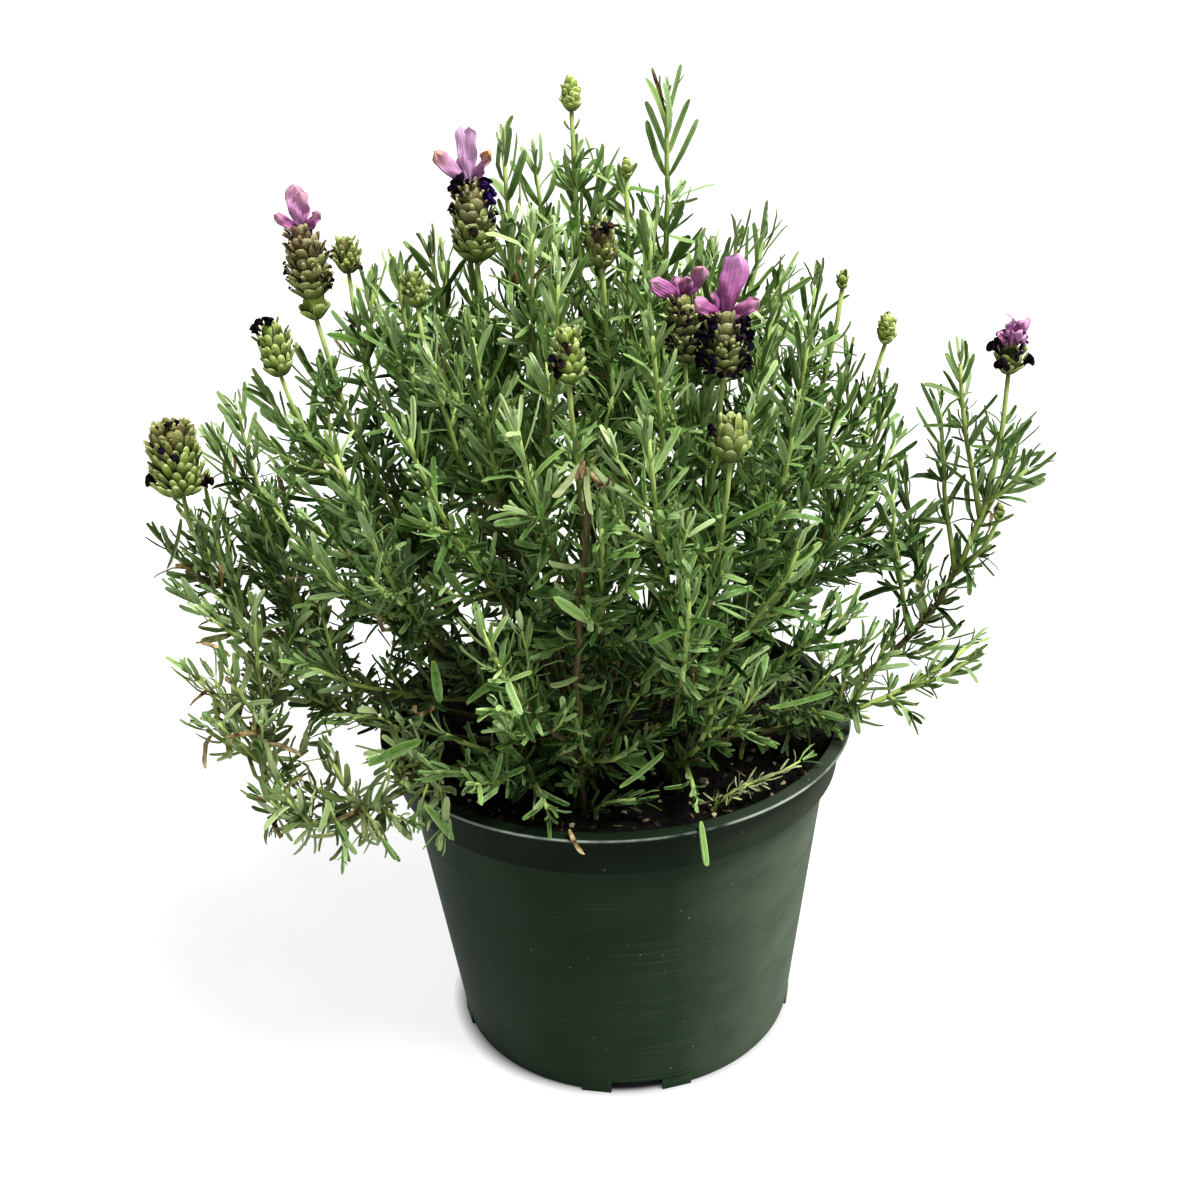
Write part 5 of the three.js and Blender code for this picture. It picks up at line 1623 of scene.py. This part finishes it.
def placeFlorets(head, show, draw, bits):
    for turn, share, spread, rise, count, size, violet in show["florets"]:
        for _ in range(count):
            side = math.radians(turn + draw.uniform(-spread, spread))
            place = min(max(share + draw.uniform(-rise, rise), 0.04), 0.97)
            lean = math.radians(draw.uniform(50, 95) - 50 * place)
            out = outFrom(head, side)
            forward = head["along"] * math.cos(lean) + out * math.sin(lean)
            forward = (forward + Vector([draw.uniform(-0.3, 0.3) for _ in range(3)])).normalized()
            foot = head["base"] + head["along"] * place * head["length"]
            foot = foot + out * headRadius(head, place) * 0.88
            big = size * draw.uniform(0.6, 1.0)
            old = draw.uniform(0.5, 1) if draw.random() < show["old"] else draw.uniform(0, 0.2)
            tint = (min(violet + draw.uniform(0, 0.15), 1), 0, old)
            bits.append(layCopy(floretShape, placeAt(foot, forward, head["along"], big, big * 1.2), tint))


def makeHead(head, seed):
    draw = random.Random(seed)
    look = headLooks[head["kind"]]
    head["full"], head["belly"] = look["full"], look["belly"]
    show = {**plainHead, **headShows.get(head["name"], {})}
    head["length"] *= show["long"]
    head["width"] *= show["slim"]
    whole = head["base"]
    head["base"] = whole + head["along"] * show["raised"]
    head["front"] = head["along"].cross(Vector((1, 0, 0))).normalized()
    head["side"] = head["front"].cross(head["along"])
    core = makeCore(head)
    turn = Matrix((head["side"], head["front"], head["along"])).transposed().to_4x4()
    core.data.transform(Matrix.Translation(head["base"] * mm) @ turn)
    bits = []
    rows, around = show.get("rows", look["rows"]), show.get("around", look["around"])
    placeScales(head, look, show, draw, rows, around, bits)
    placeTeeth(head, look, show, draw, bits)
    placeCrown(head, look, show, draw, bits)
    if show["cup"]:
        low = {**head, "base": whole, "length": show["raised"] * 1.35, "width": head["width"] * 0.78,
               "full": 3, "belly": 1.1}
        green = {**show, "blush": (0, 0), "dried": (0, 0), "bright": 0.8, "size": 1.25}
        placeScales(low, {**look, "flare": 0}, green, draw, 2, 6, bits)
    if show["skirt"]:
        low = {**head, "base": whole, "length": 10, "width": head["width"] * 1.12, "full": 3}
        placeScales(low, {**look, "flare": 1.5}, {**show, "dried": (0, 0)}, draw, 2, 12, bits)
    if show["collar"]:
        low = {**head, "base": whole - head["along"] * show["collar"], "length": 5.5, "width": 6}
        placeScales(low, look, {**show, "size": 1.2}, draw, 1, 2, bits)
    placeFlorets(head, show, draw, bits)
    joinAll(core, bits)
    slot = "head_dark" if head["name"] in darkHeads else "head_green"
    finishPiece(core, head["name"] + "_bloom", slot, head["name"])


scaleShapes = {name: [makeBlade(kind, bend, twist, calyxSurface) for bend, twist in bows["scale"]]
               for name, kind in scales.items()}
floretShape = makeFloret()
for i, head in enumerate(heads):
    makeHead(head, headSeed + i)
for shape in (*scaleShapes["tile"], *scaleShapes["pod"], floretShape):
    bpy.data.objects.remove(shape)
print("flower heads made")


petal = {
    "thickness": 0.24,
    "foot": 0.2,
    "broadest": 0.58,
    "shoulder": 0.7,
    "sunk": 2.6,
    "cup": 0.22,
    "ripples": 2.5,
    "frill": 0.2,
    "steps": 12,
    "across": 8,
}

# Each petal: its lean to the right, its tilt towards the camera and its turn about itself, its length and
# width, how far it curls forward, how crumpled and how pale it is, and how withered its tip. Angles are in
# degrees and sizes in millimetres.
tufts = {
    "centre_left_bracts_1": (
        (-44, 8, 15, 15.0, 4.8, 12, 0.6, 0.7, 0.7),
        (-3, 2, 8, 17.5, 4.6, -8, 0.6, 1.0, 0.0),
        (5, 0, -10, 17.5, 4.6, 6, 0.6, 0.9, 0.1),
        (42, 10, -26, 13.5, 3.6, 24, 0.9, 0.4, 1.0),
        (-14, -22, 0, 10, 4, -10, 0.6, 0.1, 0.4),
    ),
    "left_high_bracts_1": (
        (-2, 2, 12, 14, 5.6, -10, 1.0, 0.5, 0.3),
        (6, -6, -22, 12, 4.8, 12, 1.0, 0.3, 0.4),
        (-52, 8, 20, 9.5, 3.2, 14, 0.5, 0.1, 0.3),
        (54, 8, -20, 9, 3.2, 14, 0.5, 0.1, 0.3),
    ),
    "front_right_bracts_1": (
        (10, -2, -10, 18.5, 7.2, -6, 1.0, 0.1, 0.0),
        (-60, 10, 22, 11, 4.0, 14, 0.7, 0.0, 0.2),
        (64, 8, -20, 11.5, 4.2, 14, 0.7, 0.1, 0.3),
        (-12, -18, 10, 8.5, 4.4, -6, 0.7, 0.0, 0.1),
    ),
    "front_right_bracts_2": (
        (-58, 6, 12, 12, 5.0, 14, 0.6, 0.1, 0.2),
        (34, 6, -16, 12, 4.6, 12, 0.7, 0.2, 0.3),
        (-20, -16, 0, 7.5, 4.4, -8, 0.6, 0.1, 0.2),
        (8, 14, 0, 8, 3.8, 10, 0.6, 0.0, 0.3),
    ),
    "right_branch_bracts_1": (
        (-14, 4, 30, 10.5, 4.6, 24, 1.7, 0.3, 0.0),
        (24, 2, -20, 10.5, 4.4, 26, 1.7, 0.4, 0.1),
        (4, 30, 10, 8.5, 4.6, 50, 1.6, 0.2, 0.0),
        (-50, 10, 20, 8, 3.4, 30, 1.4, 0.1, 0.1),
    ),
}


# Narrow at its foot, then nearly parallel sides and a blunt end
def petalWidth(along):
    grown = math.sin(math.pi / 2 * min(along / petal["broadest"], 1)) ** 1.4
    past = max(along - petal["shoulder"], 0) / (1 - petal["shoulder"])
    return (petal["foot"] + (1 - petal["foot"]) * grown) * (1 - past ** 4)


def makePetal(head, foot, lean, tilt, spin, length, width, curl, crumple, pale, dried, seed):
    lean, spin = math.radians(lean), math.radians(spin)
    axis = head["along"] * math.cos(lean) + head["side"] * math.sin(lean)
    side = head["side"] * math.cos(lean) - head["along"] * math.sin(lean)
    out = side.cross(axis) * math.cos(spin) + side * math.sin(spin)
    side = axis.cross(out)
    steps = petal["steps"]
    deselectAll()
    bpy.ops.mesh.primitive_grid_add(x_subdivisions=petal["across"], y_subdivisions=steps, size=1)
    sheet = bpy.context.object
    spine = [(Vector(foot), out)]
    for i in range(steps):
        bend = math.radians(tilt + curl * (i + 0.5) / steps)
        forward = axis * math.cos(bend) + out * math.sin(bend)
        spine.append((spine[-1][0] + forward * length / steps, out * math.cos(bend) - axis * math.sin(bend)))
    for vertex in sheet.data.vertices:
        across, along = vertex.co.x * 2, vertex.co.y + 0.5
        centre, outward = spine[round(along * steps)]
        edge = Vector((math.copysign(2, across), along * 6, seed * 2.3 + length))
        frill = noise.noise(edge) * petal["frill"]
        wide = width / 2 * petalWidth(along) * (1 + frill * 2 * along)
        wave = math.sin(along * petal["ripples"] * 2 * math.pi + seed + across * 1.5) * abs(across) * 0.8
        wave += noise.noise(Vector((across * 1.6, along * 4, seed * 3.7))) * 2.0
        lift = -petal["cup"] * wide * across * across + wave * crumple * min(along * 2.5, 1)
        vertex.co = (centre + side * across * wide + outward * lift) * mm
    closeSheet(sheet, petal["thickness"], bractSurface)
    sheet.data.attributes["tint"].data.foreach_set("color", [pale, 0.5, dried, 1] * len(sheet.data.vertices))
    return sheet


def makeTop(head):
    foot = head["base"] + head["along"] * (head["length"] - petal["sunk"] * head["width"] / 15)
    sheets = [makePetal(head, foot, *shape, seed) for seed, shape in enumerate(tufts[head["bracts"]])]
    top = joinAll(sheets[0], sheets[1:])
    finishPiece(top, head["bracts"] + "_petals", "bract", head["bracts"])


for head in heads:
    if head["bracts"]:
        makeTop(head)
print("bracts made")


# In metres. The floor's own glow is painted light: it rises from the camera's side to the pot, between two
# places along Y, and fades in past the pot's foot, between two distances from its middle, which paints a
# shadow under and round the foot.
stage = {
    "floorSize": 60,
    "floorGlow": (0.49, 0.7),
    "glowFrom": (-0.45, -0.12),
    "underPot": (-0.001, 0, 0),
    "underReach": (0.0585, 0.0655),
    "sky": 0.35,
    "sunFrom": (0.45, -0.3, 1.0),
    "sunPower": 5.3,
    "sunSpread": 22,
}

# The photo's view, in millimetres and degrees: a 48 mm lens 546 mm from the plant, looking down by 24.6
view = {
    "place": (-3.31, -496.82, 388.87),
    "target": (-3.31, 0, 161.2),
    "roll": -2.69,
    "lens": 48,
    "sensor": 36,
}


def studioSky():
    world = bpy.data.worlds.new("studioSky")
    world.use_nodes = True
    world.node_tree.nodes["Background"].inputs[0].default_value = (1, 1, 1, 1)
    world.node_tree.nodes["Background"].inputs[1].default_value = stage["sky"]
    bpy.context.scene.world = world


# Matt paper that glows by itself, a painted light, so that it stays white and the sun leaves only a faint
# shadow on it. It has no glow under the pot, which paints the dark shadow line at the foot.
def paperSweep():
    material, tree = newMaterial("stagePaperSelfLit")
    grain = mottle(tree, 40, 0.3, 0.7)
    colour = addNode(tree, "ValToRGB", {0: grain}, [(0, "#7e7e7e"), (1, "#868686")])
    place = addNode(tree, "TexCoord").outputs["Object"]
    y = addNode(tree, "SeparateXYZ", {0: place}).outputs[1]
    low, high = stage["glowFrom"]
    least, most = stage["floorGlow"]
    glow = addNode(tree, "MapRange", {0: y, 1: low, 2: high, 3: least, 4: most})
    reach = addNode(tree, "VectorMath", {0: place, 1: stage["underPot"]}, operation="DISTANCE")
    low, high = stage["underReach"]
    glow = addNode(tree, "Math", {0: glow, 1: addNode(tree, "MapRange", {0: reach, 1: low, 2: high})},
                   operation="MULTIPLY")
    return finishMaterial(material, tree, {
        "Base Color": colour, "Roughness": 0.9, "Specular IOR Level": 0.0,
        "Emission Color": "#ffffff", "Emission Strength": glow})


def addSun():
    lamp = bpy.data.lights.new("softSun", "SUN")
    lamp.energy = stage["sunPower"]
    lamp.angle = math.radians(stage["sunSpread"])
    obj = bpy.data.objects.new("softSun", lamp)
    obj.rotation_euler = (-Vector(stage["sunFrom"])).to_track_quat("-Z", "Y").to_euler()
    bpy.context.collection.objects.link(obj)


def addCamera():
    place, target = Vector(view["place"]) * mm, Vector(view["target"]) * mm
    back = (place - target).normalized()
    right = up.cross(back).normalized()
    upright = back.cross(right)
    roll = math.radians(view["roll"])
    turnedRight = right * math.cos(roll) + upright * math.sin(roll)
    turnedUp = upright * math.cos(roll) - right * math.sin(roll)
    lens = bpy.data.cameras.new("photoView")
    lens.lens = view["lens"]
    lens.sensor_width = view["sensor"]
    lens.clip_start = 0.01
    camera = bpy.data.objects.new("photoView", lens)
    turn = Matrix((turnedRight, turnedUp, back)).transposed().to_4x4()
    camera.matrix_world = Matrix.Translation(place) @ turn
    bpy.context.collection.objects.link(camera)
    bpy.context.scene.camera = camera


deselectAll()
bpy.ops.mesh.primitive_plane_add(size=stage["floorSize"])
floor = bpy.context.object
floor.name = "paperFloor"
floor.data.materials.append(paperSweep())
studioSky()
addSun()
addCamera()
bpy.context.scene.view_settings.view_transform = "Standard"
bpy.context.scene.view_settings.look = "Medium High Contrast"
print("stage set")
